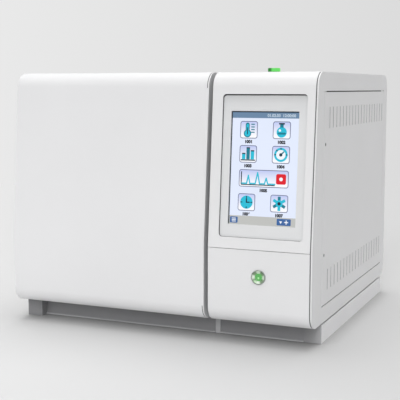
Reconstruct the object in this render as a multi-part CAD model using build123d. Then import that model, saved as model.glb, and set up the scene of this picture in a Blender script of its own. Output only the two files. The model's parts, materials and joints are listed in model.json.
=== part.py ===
"""Bench gas chromatograph: hinged oven door, leaning screen tower and a box-rail base.

Lengths are in millimetres. Sizes are laid out from the machine's front left corner on the
bench (x to the right, y to the back, z up). The model's origin is at bench level, under the
middle of the whole machine, from the button ring in front to the gas fittings behind.
"""
import os
from math import cos, radians, sin, sqrt, tan

from build123d import *

os.makedirs("parts", exist_ok=True)

# ---------------------------------------------------------------- overall form
body_width = 602.0
body_depth = 560.0
body_top = 480.0
screen_panel_rise = 308.0  # from the crease up to the top
crease_height = body_top - screen_panel_rise  # the front is upright below it, and leans above
lean_angle = 4.8
front_radius = 28.0
rear_radius = 30.0
rear_reach = 24.0          # rear gas fittings stand this far behind the body

# ---------------------------------------------------------------- walls and clearances
skin = 2.5                 # painted outer panels
sheet = 2.0                # folded chassis sheet
seat = 0.2                 # space between a piece and what it is fastened to
joint = 0.4                # visible joint between two neighbouring panels
reveal = 1.8               # shadow gap between a side panel and the panels it frames
running = 0.05             # radial clearance of a shaft in its bearing
press = 0.02               # radial clearance of a pin or shaft that is fixed in its hole
edge_round = 0.8           # broken edge of the outer panels
overrun = 5.0              # how far a cutting tool runs past the wall it cuts

# ---------------------------------------------------------------- base
rail_height = 33.5
base_groove = 3.5          # dark groove between the rails and the body
rail_width = 32.0
rail_wall = 2.0
left_rail_front = 45.0
right_rail_front = 66.0
middle_rail_front = 62.5
middle_rail_width = 10.0
beam_front = 63.0
beam_lip = 2.5
beam_flange = 20.0
beam_lift = 1.0
rail_end_from_rear = 24.0
rail_end = body_depth - rail_end_from_rear

# ---------------------------------------------------------------- oven door
tower_share = 200.0        # the tower and the gap beside it
door_width = body_width - tower_share
door_depth = 58.0
door_gap = 8.0             # open gap between the door and the tower
tower_left = door_width + door_gap
seal_space = 4.0           # between the door's back and the oven front
door_liner_wall = 1.5
plug_depth = 18.0          # how far the door's inner pan reaches into the oven mouth
plug_gap = 3.0
door_fill_front = 32.0
seam_width = 0.6
seam_depth = 0.8
hinge_x = 8.0
hinge_y = 50.0
hinge_notch = 18.0
hinge_notch_front = 42.0
hinge_height = 44.0
hinge_low = 95.0
hinge_from_top = 105.0
hinge_heights = (hinge_low, body_top - hinge_from_top)
hinge_pin_radius = 2.5
hinge_barrel_radius = 5.0
hinge_block_height = 20.0
catch_from_edge = 18.0
catch_x = door_width - catch_from_edge
catch_width = 10.0
catch_height = 40.0
catch_above_low_hinge = 20.0
catch_above_high_hinge = 10.0
catch_heights = (hinge_heights[0] + catch_above_low_hinge, hinge_heights[1] + catch_above_high_hinge)
running_face = 0.3         # space between two faces that meet when a door or lid is shut

# ---------------------------------------------------------------- oven
oven_room_beside = 134.0   # walls, insulation and air to the left and right of the oven together
oven_room_above = 222.0    # the same above and below it
oven_room_behind = 330.0   # the same in front of and behind it
oven_x = (tower_left + sheet) / 2
oven_width = tower_left - oven_room_beside
oven_height = body_top - oven_room_above
oven_depth = body_depth - oven_room_behind
liner_wall = 1.2
insulation = 50.0
casing_wall = 1.0
mouth_radius = 8.0
port_from_wall = 58.0
port_offset = oven_width / 2 - port_from_wall  # injectors and detectors stand this far to each side
injector_y = 122.0
port_pitch = 83.0          # from the injectors back to the detectors
detector_y = injector_y + port_pitch
port_radius = 8.0
port_clear = 0.3
foot_reach = 22.0          # injectors and detectors reach this far down into the oven
needle_radius = 1.5
block_height = 30.0
block_half = 21.0

# ---------------------------------------------------------------- oven fan and heater
fan_radius = 68.0
fan_inner_radius = 26.0
fan_blades = 10
blade_depth = 20.0
blade_wall = 1.2
blade_bend = 60.0
fan_disc = 1.5
fan_hub_radius = 9.0
fan_disc_gap = 16.0        # between the disc and the oven's back wall
fan_shaft_radius = 4.0
shaft_hole_radius = 8.0
baffle_from_back = 58.0
baffle_wall = 1.2
baffle_margin = 24.0
baffle_eye_radius = 52.0
grille_wire = 1.2
heater_radius = 92.0
heater_tube_radius = 3.6
heater_spacing = 14.0
heater_leg_radius = 3.0
motor_radius = 36.0
motor_length = 70.0
motor_plate = 90.0
motor_standoff = 20.0
motor_shaft_reach = 30.0

# ---------------------------------------------------------------- column
cage_radius = 84.0
cage_wire = 1.6
cage_depth = 42.0
cage_front = 110.0
column_thickness = 3.5
column_depth = 26.0

# ---------------------------------------------------------------- vent ducts and flaps
duct_from_wall = 63.0
duct_from_roof = 49.0
duct_offset = oven_width / 2 - duct_from_wall
duct_rise = oven_height / 2 - duct_from_roof
duct_width = 84.0
duct_height = 50.0
duct_wall = 1.0
flap_shaft_radius = 3.0
flap_from_casing = 40.0
flap_clear = 1.0
flap_wall = 1.5
stepper_size = 35.0
stepper_length = 28.0

# ---------------------------------------------------------------- injector bay and lid
bay_left = 30.0
bay_from_tower = 28.0
bay_right = tower_left - bay_from_tower
bay_front = 96.0
bay_from_rear = 118.5
bay_rear = body_depth - bay_from_rear
rim_width = 18.0
rim_inset = 10.0
lid_gap = 1.5
lid_flange = 8.0
lid_flange_wall = 1.5
lid_notch_radius = 12.0
lid_hinge_inset = 60.0
lid_hinge_x = (bay_left + lid_hinge_inset, bay_right - lid_hinge_inset)
lid_hinge_length = 60.0
lid_knuckle_radius = 3.0
lid_pin_radius = 1.5
lid_leaf = 16.0
lid_leaf_wall = 1.0

# ---------------------------------------------------------------- screen tower
recess_from_right = 95.5
recess_x = body_width - recess_from_right
recess_width = 154.0
recess_height = 250.0
recess_rise = 20.5         # from the crease up to the recess, along the leaning face
recess_radius = 6.0
bezel_margin = 4.0
bezel_wall = 2.5
bezel_dish = 1.8           # the bezel's middle lies this far behind its fastened border
window_width = 124.0
window_height = 198.0
window_rise = 43.5
touch_wall = 1.2
touch_margin = 3.0
display_depth = 10.0
post_radius = 3.0
button_from_right = 96.0
button_below_crease = 46.7
button_x = body_width - button_from_right
button_z = crease_height - button_below_crease
button_ring_radius = 13.0
button_ring_depth = 3.2
button_ring_round = 1.2
button_body_radius = 11.0
button_dish_radius = 11.4
button_dish_depth = 2.8
button_cap_radius = 6.6
button_cap_set_back = 1.6
button_body_depth = 30.0
button_travel = 2.5
bowl_radius = 18.0         # hollow in the button's face
bowl_depth = 0.9
lamp_from_right = 96.7
lamp_x = body_width - lamp_from_right
lamp_y = 75.0
lamp_radius = 11.0
lamp_height = 7.0
lamp_stem_radius = 8.8
lamp_stem_length = 24.0
lamp_nut = 4.0

# ---------------------------------------------------------------- slotted side cover
cover_front = 62.0
cover_from_rear = 29.0
cover_rear = body_depth - cover_from_rear
cover_bottom = 66.5
cover_below_top = 33.0
cover_top = body_top - cover_below_top
cover_gap = 2.0
cover_rail_width = 26.0
slot_count = 19
slots_from_front = 35.0
slots_from_rear = 20.0
slot_first = cover_front + slots_from_front
slot_pitch = (cover_rear - slots_from_rear - slot_first) / (slot_count - 1)
slot_width = 3.0
slot_height = 38.0
low_slots_rise = 45.0
high_slots_drop = 46.5
slot_rows = (cover_bottom + low_slots_rise, cover_top - high_slots_drop)
cover_screw_inset = 10.5
cover_screw_y = cover_front + cover_screw_inset
low_screw_rise = 92.4
high_screw_drop = 92.7
cover_screw_heights = (cover_bottom + low_screw_rise, cover_top - high_screw_drop)
screw_head_radius = 3.0

screw_radius = 1.7
screw_length = 9.0

# ---------------------------------------------------------------- rear services
frame_width = 10.0
frame_band = 12.0
cooler_x = body_width - 97.0
cooler_z = 250.0
cooler_size = 92.0
cooler_depth = 25.0
cooler_bore = 43.0
cooler_blades = 7
cooler_hub = 17.0
cooler_axle = 2.0
inlet_x = body_width - 42.0
inlet_z = 85.0
inlet_width = 34.0
inlet_height = 27.0
inlet_flange = 8.0
inlet_depth = 30.0
ports_z = (150.0, 178.0)
fitting_x = (tower_left + 30.0, tower_left + 60.0, tower_left + 90.0)
fitting_z = body_top - 50.0
fitting_hex = 7.0
gas_tube_radius = 1.6
fitting_thread = 3.97
board_y = (110.0, body_depth - 160.0)
board_z = (70.0, body_top - 160.0)
board_wall = 1.6
board_standoff = 8.0
supply_height = 62.0
supply_width = 90.0
supply_length = 140.0
supply_gap = 20.0
supply_from_rear = 60.0
manifold_y = body_depth - 70.0

# ---------------------------------------------------------------- derived places
left = -body_width / 2
front = -(body_depth + rear_reach - button_ring_depth) / 2
body_bottom = rail_height + base_groove
floor_top = body_bottom + skin
ceiling = body_top - skin
frame_front = door_depth + seal_space
frame_back = frame_front + sheet
panel_left = skin + reveal
panel_right = body_width - skin - reveal
rear_wrap = body_depth - rear_radius
oven_front = frame_back + seat
oven_layers = liner_wall + seat + insulation + seat + casing_wall
oven_bottom = floor_top + seat + oven_layers
oven_top = oven_bottom + oven_height
oven_z = oven_bottom + oven_height / 2
oven_back = oven_front + oven_depth
casing_back = oven_back + oven_layers
casing_top = oven_top + oven_layers
port_x = (oven_x - port_offset, oven_x + port_offset)
duct_x = (oven_x - duct_offset, oven_x + duct_offset)
duct_z = oven_z + duct_rise
whole_depth = (-overrun, body_depth + overrun)
whole_height = (0, body_top + overrun)
lean = radians(lean_angle)
lean_plane = Plane(
    origin=(left, front, crease_height),
    x_dir=(1, 0, 0),
    z_dir=(0, -cos(lean), sin(lean)),
)


# ---------------------------------------------------------------- building helpers
def save(name, shape):
    """Write one sub-part to its own STEP file."""
    export_step(shape, f"parts/{name}.step")


def group(*shapes):
    """Keep several separate solids together as one sub-part."""
    return Compound(children=[solid for shape in shapes for solid in shape.solids()])


def block(x, y, z):
    """A box between (low, high) pairs measured from the front left bench corner."""
    size = (x[1] - x[0], y[1] - y[0], z[1] - z[0])
    centre = (left + (x[0] + x[1]) / 2, front + (y[0] + y[1]) / 2, (z[0] + z[1]) / 2)
    return Pos(*centre) * Box(*size)


def rod_x(y, z, x, radius):
    """A round bar along x, between the two values of x."""
    middle = (left + (x[0] + x[1]) / 2, front + y, z)
    return Pos(*middle) * Rot(0, 90, 0) * Cylinder(radius, x[1] - x[0])


def rod_y(x, z, y, radius):
    """A round bar along y, between the two values of y."""
    middle = (left + x, front + (y[0] + y[1]) / 2, z)
    return Pos(*middle) * Rot(90, 0, 0) * Cylinder(radius, y[1] - y[0])


def rod_z(x, y, z, radius):
    """A round bar along z, between the two values of z."""
    middle = (left + x, front + y, (z[0] + z[1]) / 2)
    return Pos(*middle) * Cylinder(radius, z[1] - z[0])


def outline(inset):
    """The body's side outline, drawn inside the outer surface by the inset."""
    slope = inset / cos(lean)
    crease = crease_height + (inset - slope) / tan(lean)
    low = body_bottom + inset
    high = body_top - inset
    leaning_top = slope + (high - crease_height) * tan(lean)
    rear = body_depth - inset
    corners = [(inset, low), (inset, crease), (leaning_top, high), (rear, high), (rear, low)]
    face = make_face(Polyline(*corners, close=True))
    front_corners = [v for v in face.vertices() if v.X < door_depth and abs(v.Y - crease) > front_radius]
    face = fillet(front_corners, front_radius - inset)
    rear_corners = [v for v in face.vertices() if v.X > rear - joint]
    return fillet(rear_corners, rear_radius - inset)


def slab(x, inset):
    """The side outline given a width between the two values of x."""
    start = Plane.YZ.offset(left + x[0])
    return extrude(start * Pos(front, 0) * outline(inset), x[1] - x[0])


def band(x, y=whole_depth, z=whole_height, outer=0.0, wall=skin, broken_edge=0.0):
    """A strip of wall that follows the outline, kept between the given limits."""
    solid = slab(x, outer)
    if broken_edge:
        ends = solid.faces().sort_by(Axis.X)
        solid = fillet(ends[0].edges() + ends[-1].edges(), broken_edge)
    hollow = slab((x[0] - overrun, x[1] + overrun), outer + wall)
    return (solid & block(x, y, z)) - hollow


def on_lean(x, rise, depth):
    """A place on the leaning face: across, up the slope from the crease, and inwards."""
    return lean_plane * Pos(x, rise, -depth)


# ---------------------------------------------------------------- base frame
def base_rail(x, start):
    """A closed-front box rail with the narrow spacer that makes the groove under the body."""
    tube = block(x, (start, rail_end), (0, rail_height))
    inside = block(
        (x[0] + rail_wall, x[1] - rail_wall),
        (start + rail_wall, rail_end + overrun),
        (rail_wall, rail_height - rail_wall),
    )
    margin = (x[1] - x[0]) / 4
    spacer = block((x[0] + margin, x[1] - margin), (frame_front, rear_wrap), (rail_height, body_bottom))
    return tube - inside + spacer


def base_beam(x, face, outward):
    """A folded cross beam: face, top flange turned in and a short bottom lip turned out."""
    inner = face - outward * sheet
    wall = block(x, sorted((face, inner)), (beam_lift, rail_height))
    flange_end = face - outward * beam_flange
    flange = block(x, sorted((face, flange_end)), (rail_height - sheet, rail_height))
    lip_end = face + outward * beam_lip
    lip = block(x, sorted((inner, lip_end)), (beam_lift, beam_lift + sheet))
    return wall + flange + lip


def make_base():
    left_x = (0, rail_width)
    middle_x = (tower_left - middle_rail_width, tower_left)
    right_x = (body_width - rail_width, body_width)
    rails = group(base_rail(left_x, left_rail_front), base_rail(right_x, right_rail_front))
    save("base_rails", rails)
    members = [base_rail(middle_x, middle_rail_front)]
    for x in ((left_x[1], middle_x[0]), (middle_x[1], right_x[0])):
        members.append(base_beam(x, beam_front, -1))
        members.append(base_beam(x, rail_end, 1))
    save("base_cross_members", group(*members))


# ---------------------------------------------------------------- chassis
def oven_mouth(grow, y):
    """The oven's mouth as a cutting tool, with rounded corners."""
    flat = RectangleRounded(oven_width + 2 * grow, oven_height + 2 * grow, mouth_radius + grow)
    place = Plane(origin=(left + oven_x, front + y[0], oven_z), x_dir=(1, 0, 0), z_dir=(0, -1, 0))
    return extrude(place * flat, y[0] - y[1])


def make_chassis():
    floor = block((skin, body_width - skin), (frame_front, rear_wrap - joint), (body_bottom, floor_top))
    save("chassis_floor", floor)

    ring_inset = skin + seat
    ring_x = (body_width - skin - frame_width, body_width - skin)
    right_ring = band(ring_x, outer=ring_inset, wall=frame_band)

    left_x = (skin, skin + frame_width)
    ring_front = oven_front + frame_band
    ring = slab(left_x, ring_inset) & block(left_x, (oven_front, body_depth), (0, body_top))
    hollow_limits = block(left_x, (ring_front, body_depth), (0, body_top))
    hollow = slab(left_x, ring_inset + frame_band) & hollow_limits
    save("frame_rings", group(right_ring, ring - hollow))

    plate = block(
        (skin + seat, tower_left - seat), (frame_front, frame_back), (floor_top + seat, ceiling - seat)
    )
    save("oven_front_frame", plate - oven_mouth(0, (frame_front - overrun, frame_back + overrun)))

    wall = slab((tower_left, tower_left + sheet), skin + seat)
    for z in (gas_line_height(0), gas_line_height(1)):
        wall -= rod_x(manifold_y, z, (tower_left - overrun, tower_left + overrun), 3 * gas_tube_radius)
    for y in board_spacer_y():
        for z in board_spacer_z():
            wall += rod_x(y, z, (tower_left + sheet, tower_left + sheet + board_standoff), post_radius)
    save("partition", wall)


# ---------------------------------------------------------------- outer panels
def rear_openings():
    """Everything that is cut through the rear panel, as one list of tools."""
    y = (body_depth - 2 * skin, body_depth + overrun)
    tools = []
    slot_step = 9.0
    for x in duct_x:
        for row in (-2, -1, 0, 1, 2):
            z = duct_z + row * slot_step
            tools.append(block((x - duct_width / 2 + 4, x + duct_width / 2 - 4), y, (z - 2, z + 2)))
    for column in range(-4, 5):
        x = cooler_x + column * slot_step
        reach = sqrt(cooler_bore**2 - (column * slot_step) ** 2) - 2
        tools.append(block((x - 2, x + 2), y, (cooler_z - reach, cooler_z + reach)))
    inlet_x_span = (inlet_x - inlet_width / 2 - seat, inlet_x + inlet_width / 2 + seat)
    inlet_z_span = (inlet_z - inlet_height / 2 - seat, inlet_z + inlet_height / 2 + seat)
    tools.append(block(inlet_x_span, y, inlet_z_span))
    for z in ports_z:
        tools.append(block((inlet_x - 12.2, inlet_x + 12.2), y, (z - 5.2, z + 5.2)))
    for x in fitting_x:
        tools.append(rod_y(x, fitting_z, y, fitting_hex - 1 + seat))
    return tools


def make_side_panels():
    width = (body_width - skin, body_width)
    side = slab(width, 0)
    side = fillet(side.faces().sort_by(Axis.X)[-1].edges(), edge_round)
    through = (width[0] - overrun, width[1] + overrun)
    side -= block(through, (cover_front, cover_rear), (cover_bottom, cover_top))

    cover = block(
        width,
        (cover_front + cover_gap, cover_rear - cover_gap),
        (cover_bottom + cover_gap, cover_top - cover_gap),
    )
    cover = fillet(cover.faces().sort_by(Axis.X)[-1].edges(), edge_round)
    slot = Rot(0, 90, 0) * SlotOverall(slot_height, slot_width)
    for z in slot_rows:
        for index in range(slot_count):
            y = slot_first + index * slot_pitch
            cover -= extrude(Pos(left + width[0] - overrun, front + y, z) * slot, 2 * overrun + skin)
    rail_x = (width[0] - sheet, width[0])
    rail_z = (cover_bottom - cover_gap - 4, cover_top + cover_gap + 4)
    front_rail = block(rail_x, (cover_front - 6, cover_front - 6 + cover_rail_width), rail_z)
    rear_rail = block(rail_x, (cover_rear + 6 - cover_rail_width, cover_rear + 6), rail_z)
    screws = []
    for z in cover_screw_heights:
        shank = rod_x(cover_screw_y, z, (body_width - screw_length, body_width - sheet / 2), screw_radius)
        head = rod_x(cover_screw_y, z, (body_width - sheet / 2, body_width), screw_head_radius)
        head = fillet(head.faces().sort_by(Axis.X)[-1].edges(), sheet / 4)
        socket = rod_x(cover_screw_y, z, (body_width - sheet / 4, body_width + sheet), screw_radius)
        screws.append(head + shank - socket)
        clear = rod_x(cover_screw_y, z, (width[0] - overrun, width[1] + overrun), screw_radius + seat)
        pocket_x = (body_width - sheet / 2 - press, body_width + sheet)
        pocket = rod_x(cover_screw_y, z, pocket_x, screw_head_radius + seat)
        cover -= clear + pocket
        front_rail -= clear
    save("side_cover_right", cover)
    save("side_panel_right", side + front_rail + rear_rail)
    save("side_cover_screws", group(*screws))

    side = slab((0, skin), 0) & block((0, skin), (frame_front, body_depth), (0, body_top))
    save("side_panel_left", fillet(side.faces().sort_by(Axis.X)[0].edges(), edge_round))


def make_outer_panels():
    width = (panel_left, panel_right)
    rear = band(width, y=(rear_wrap, body_depth + overrun), broken_edge=edge_round)
    for tool in rear_openings():
        rear -= tool
    save("rear_panel", rear)

    limits = (frame_front, rear_wrap - joint)
    top = band(width, y=limits, z=(oven_top, body_top + overrun), broken_edge=edge_round)
    top -= block((bay_left, bay_right), (bay_front, bay_rear), (oven_top, body_top + overrun))
    top -= rod_z(lamp_x, lamp_y, (oven_top, body_top + overrun), lamp_stem_radius + seat)

    rim_outer = block(
        (bay_left - rim_width + rim_inset, bay_right + rim_width - rim_inset),
        (bay_front - rim_width + rim_inset, bay_rear + rim_width - rim_inset),
        (ceiling - sheet, ceiling),
    )
    rim_inner = block(
        (bay_left + rim_inset, bay_right - rim_inset),
        (bay_front + rim_inset, bay_rear - rim_inset),
        (ceiling - overrun, body_top),
    )
    finger = rod_z(oven_x, bay_front + rim_inset, (ceiling - overrun, body_top), lid_notch_radius - 2)
    save("top_panel", top + (rim_outer - rim_inner - finger))


# ---------------------------------------------------------------- lid
def lid_axis_height():
    return body_top + lid_knuckle_radius + seat


def lid_knuckle(x, toward):
    """One hinge knuckle with the tab that ties it to its leaf, in front (-1) or behind (1)."""
    z = lid_axis_height()
    barrel = rod_x(bay_rear, z, x, lid_knuckle_radius)
    tab_end = bay_rear + toward * (lid_knuckle_radius + 1)
    tab = block(x, sorted((bay_rear, tab_end)), (body_top, body_top + lid_leaf_wall))
    return barrel + tab


def lid_hinge_pins():
    z = lid_axis_height()
    spans = [(start, start + lid_hinge_length) for start in lid_hinge_x]
    return [rod_x(bay_rear, z, span, lid_pin_radius) for span in spans]


def make_lid():
    x = (bay_left + lid_gap, bay_right - lid_gap)
    y = (bay_front + lid_gap, bay_rear - lid_gap)
    plate = block(x, y, (ceiling + seat, body_top))
    plate = fillet(plate.faces().sort_by(Axis.Z)[-1].edges(), edge_round)
    flange_x = (bay_left + rim_inset + lid_gap, bay_right - rim_inset - lid_gap)
    flange_y = (bay_front + rim_inset + lid_gap, bay_rear - rim_inset - lid_gap)
    outer = block(flange_x, flange_y, (ceiling - lid_flange, ceiling + seat))
    inner = block(
        (flange_x[0] + lid_flange_wall, flange_x[1] - lid_flange_wall),
        (flange_y[0] + lid_flange_wall, flange_y[1] + overrun),
        (ceiling - lid_flange - overrun, ceiling + seat),
    )
    lid = plate + (outer - inner)
    lid -= rod_z(oven_x, y[0], (ceiling - overrun, body_top + overrun), lid_notch_radius)
    notch_back = block(
        (oven_x - lid_notch_radius - 2, oven_x + lid_notch_radius + 2),
        (y[0], y[0] + lid_notch_radius + 2),
        (ceiling - lid_flange - overrun, ceiling + seat),
    )
    save("bay_lid", lid - notch_back)

    third = lid_hinge_length / 3
    lid_leaves = []
    body_leaves = []
    leaf_z = (body_top, body_top + lid_leaf_wall)
    reach = lid_knuckle_radius + 0.6
    for start in lid_hinge_x:
        end = start + lid_hinge_length
        bore_span = (start - overrun, end + overrun)
        bore = rod_x(bay_rear, lid_axis_height(), bore_span, lid_pin_radius + running)
        pin_seat = rod_x(bay_rear, lid_axis_height(), bore_span, lid_pin_radius + press)
        middle = lid_knuckle((start + third + joint, end - third - joint), -1)
        leaf = block((start, end), (bay_rear - lid_leaf, bay_rear - reach), leaf_z)
        lid_leaves.append(leaf + middle - bore)
        leaf = block((start, end), (bay_rear + reach, bay_rear + lid_leaf), leaf_z)
        outer_knuckles = lid_knuckle((start, start + third), 1) + lid_knuckle((end - third, end), 1)
        body_leaves.append(leaf + outer_knuckles - pin_seat)
    save("lid_hinge_leaves", group(*lid_leaves))
    save("lid_hinge_bases", group(*body_leaves))


# ---------------------------------------------------------------- oven door
def hinge_notches():
    """Corner cut-outs in the door's rear left edge, one for each hinge."""
    return [
        block((-overrun, hinge_notch), (hinge_notch_front, frame_front), (z, z + hinge_height))
        for z in hinge_heights
    ]


def door_plug(grow, y):
    """The pan on the door's back that fills the oven mouth."""
    half_width = oven_width / 2 - plug_gap + grow
    half_height = oven_height / 2 - plug_gap + grow
    x = (oven_x - half_width, oven_x + half_width)
    return block(x, y, (oven_z - half_height, oven_z + half_height))


def make_door():
    depth = (-overrun, door_depth)
    front_skin = band((skin, door_width - skin), y=depth)
    seam_zones = ((0, body_bottom + front_radius), (body_top - front_radius, body_top + overrun))
    for x in ((skin, skin + seam_width), (door_width - skin - seam_width, door_width - skin)):
        for z in seam_zones:
            front_skin -= band(x, y=depth, z=z, wall=seam_depth)
    save("door_skin", front_skin)

    left_cap = slab((0, skin), 0) & block((0, skin), depth, (0, body_top))
    left_cap = fillet(left_cap.faces().sort_by(Axis.X)[0].edges(), edge_round)
    right_x = (door_width - skin, door_width)
    right_cap = slab(right_x, 0) & block(right_x, depth, (0, body_top))
    right_cap = fillet(right_cap.faces().sort_by(Axis.X)[-1].edges(), edge_round)
    for notch in hinge_notches():
        left_cap -= notch
    save("door_end_caps", group(left_cap, right_cap))

    back = (door_depth - door_liner_wall, door_depth)
    plate = block((skin + seat, door_width - skin - seat), back, (floor_top + seat, ceiling - seat))
    plug_outer = door_plug(0, (back[0], door_depth + plug_depth))
    plug_hollow_y = (back[0] - overrun, door_depth + plug_depth - door_liner_wall)
    plug_inner = door_plug(-door_liner_wall, plug_hollow_y)
    liner = plate + plug_outer - plug_inner
    for notch in hinge_notches():
        liner -= notch
    save("door_liner", liner)

    fill = door_plug(0, (door_fill_front, back[0] - seat))
    plug_fill = door_plug(
        -door_liner_wall - seat, (door_fill_front, door_depth + plug_depth - door_liner_wall - seat)
    )
    save("door_insulation", fill + plug_fill)

    seal = oven_mouth(16, (door_depth, frame_front - running_face))
    seal -= oven_mouth(4, (door_depth - overrun, frame_front + overrun))
    save("door_seal", seal)
    make_door_hinges()
    make_door_catches()


def make_door_hinges():
    blocks = []
    pins = lid_hinge_pins()
    brackets = []
    block_y = (hinge_notch_front, door_depth - door_liner_wall - seat)
    for z in hinge_heights:
        top = z + hinge_height
        low = z - hinge_block_height
        high = top + hinge_block_height
        bore = rod_z(hinge_x, hinge_y, (low - overrun, high + overrun), hinge_pin_radius + running)
        for span in ((low, z), (top, high)):
            blocks.append(block((skin + seat, hinge_notch), block_y, span) - bore)
        pins.append(rod_z(hinge_x, hinge_y, (low, high), hinge_pin_radius))
        inside = (z + joint, top - joint)
        barrel = rod_z(hinge_x, hinge_y, inside, hinge_barrel_radius)
        arm = block((hinge_x - 3, hinge_x + 3), (hinge_y, frame_front), inside)
        foot = block((skin + 1.5, hinge_notch + 4), (frame_front - sheet, frame_front), inside)
        pin_seat = rod_z(hinge_x, hinge_y, (z, top), hinge_pin_radius + press)
        brackets.append(barrel + arm + foot - pin_seat)
    save("door_hinge_blocks", group(*blocks))
    save("hinge_pins", group(*pins))
    save("door_hinge_brackets", group(*brackets))


def make_door_catches():
    x = (catch_x, catch_x + catch_width)
    y = (door_depth + running_face, frame_front)
    magnets = [block(x, y, (z, z + catch_height)) for z in catch_heights]
    save("door_magnets", group(*magnets))


# ---------------------------------------------------------------- oven
def oven_layer(offset, wall):
    """A five-sided box, open to the front, that wraps the oven cavity at the given offset."""
    half_width = oven_width / 2 + offset
    half_height = oven_height / 2 + offset
    back = oven_back + offset
    inner = block(
        (oven_x - half_width, oven_x + half_width),
        (oven_front - overrun, back),
        (oven_z - half_height, oven_z + half_height),
    )
    outer = block(
        (oven_x - half_width - wall, oven_x + half_width + wall),
        (oven_front, back + wall),
        (oven_z - half_height - wall, oven_z + half_height + wall),
    )
    return outer - inner


def oven_passages(duct_grow):
    """What passes through the oven's top and back walls, as cutting tools."""
    tools = []
    for x in port_x:
        for y in (injector_y, detector_y):
            through = (oven_top - overrun, casing_top + overrun)
            tools.append(rod_z(x, y, through, port_radius + port_clear))
    back = (oven_back - overrun, casing_back + overrun)
    tools.append(rod_y(oven_x, oven_z, back, shaft_hole_radius))
    for x in heater_leg_x():
        tools.append(rod_y(x, heater_leg_z(), back, heater_tube_radius + port_clear))
    for x in duct_x:
        half_width = duct_width / 2 + duct_grow
        half_height = duct_height / 2 + duct_grow
        duct_span = (duct_z - half_height, duct_z + half_height)
        tools.append(block((x - half_width, x + half_width), back, duct_span))
    return tools


def heater_leg_x():
    spread = heater_radius * sin(radians(20))
    return (oven_x - spread, oven_x + spread)


def heater_leg_z():
    return oven_z - heater_radius * cos(radians(20))


def make_oven():
    liner = oven_layer(0, liner_wall)
    for tool in oven_passages(-duct_wall):
        liner -= tool
    save("oven_liner", liner)

    wrap = oven_layer(liner_wall + seat, insulation)
    for tool in oven_passages(seat):
        wrap -= tool
    save("oven_insulation", wrap)

    casing = oven_layer(liner_wall + seat + insulation + seat, casing_wall)
    for tool in oven_passages(seat):
        casing -= tool
    save("oven_casing", casing)


def make_oven_fan():
    disc_back = oven_back - fan_disc_gap
    disc_front = disc_back - fan_disc
    blade_front = disc_front - blade_depth
    origin = (left + oven_x, front + disc_front + fan_disc / 2, oven_z)
    place = Plane(origin=origin, x_dir=(1, 0, 0), z_dir=(0, -1, 0))
    ring = Circle(fan_radius - 1) - Circle(fan_inner_radius)
    bend_centre = (fan_radius + fan_inner_radius) / 2
    strip = Circle(blade_bend + blade_wall) - Circle(blade_bend)
    strip = Pos(bend_centre, -blade_bend) * strip
    blade = strip & ring & (Pos(fan_radius, 0) * Rectangle(2 * fan_radius, fan_radius))
    wheel = rod_y(oven_x, oven_z, (disc_front, disc_back), fan_radius)
    wheel += rod_y(oven_x, oven_z, (blade_front, disc_back + 4), fan_hub_radius)
    for index in range(fan_blades):
        turned = Rot(0, 0, index * 360 / fan_blades) * blade
        wheel += extrude(place * turned, blade_depth + fan_disc / 2)
    motor_front = casing_back + motor_standoff
    shaft_end = motor_front + motor_shaft_reach
    bore = rod_y(oven_x, oven_z, (blade_front - overrun, shaft_end), fan_shaft_radius + press)
    save("oven_fan_wheel", wheel - bore)
    save("oven_fan_shaft", rod_y(oven_x, oven_z, (blade_front, shaft_end), fan_shaft_radius))

    body = rod_y(oven_x, oven_z, (motor_front + sheet, motor_front + sheet + motor_length), motor_radius)
    body = fillet(body.edges().filter_by(GeomType.CIRCLE), 4)
    nose = rod_y(oven_x, oven_z, (motor_front - 4, motor_front + sheet + 1), fan_hub_radius)
    bearing = rod_y(oven_x, oven_z, (motor_front - overrun, shaft_end + 1), fan_shaft_radius + running)
    save("oven_fan_motor", body + nose - bearing)

    half = motor_plate / 2
    plate_y = (motor_front, motor_front + sheet)
    plate = block((oven_x - half, oven_x + half), plate_y, (oven_z - half, oven_z + half))
    plate -= rod_y(oven_x, oven_z, (motor_front - overrun, motor_front + overrun), fan_hub_radius + seat)
    for side in (-1, 1):
        for level in (-1, 1):
            reach = half - 7
            centre = (oven_x + side * reach, oven_z + level * reach)
            plate += rod_y(*centre, (casing_back + seat, motor_front + sheet), post_radius + 1)
    save("oven_fan_bracket", plate)


def make_baffle():
    """Perforated plate in front of the fan, on four posts from the oven's back wall."""
    y = oven_back - baffle_from_back
    half_width = oven_width / 2 - baffle_margin
    half_height = oven_height / 2 - baffle_margin
    plate = block(
        (oven_x - half_width, oven_x + half_width),
        (y, y + baffle_wall),
        (oven_z - half_height, oven_z + half_height),
    )
    plate -= rod_y(oven_x, oven_z, (y - overrun, y + overrun), baffle_eye_radius)
    middle = y + baffle_wall / 2
    for share in (0.3, 0.65):
        hoop = Torus(baffle_eye_radius * share, grille_wire)
        plate += Pos(left + oven_x, front + middle, oven_z) * Rot(90, 0, 0) * hoop
    reach = baffle_eye_radius + grille_wire
    for turn in (45, 135):
        spoke = Rot(0, turn, 0) * Cylinder(grille_wire, 2 * reach)
        plate += Pos(left + oven_x, front + middle, oven_z) * spoke
    for side in (-1, 1):
        for level in (-1, 1):
            centre = (oven_x + side * (half_width - 12), oven_z + level * (half_height - 12))
            plate += rod_y(*centre, (y, oven_back - seat), post_radius)
    save("oven_baffle", plate)


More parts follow.
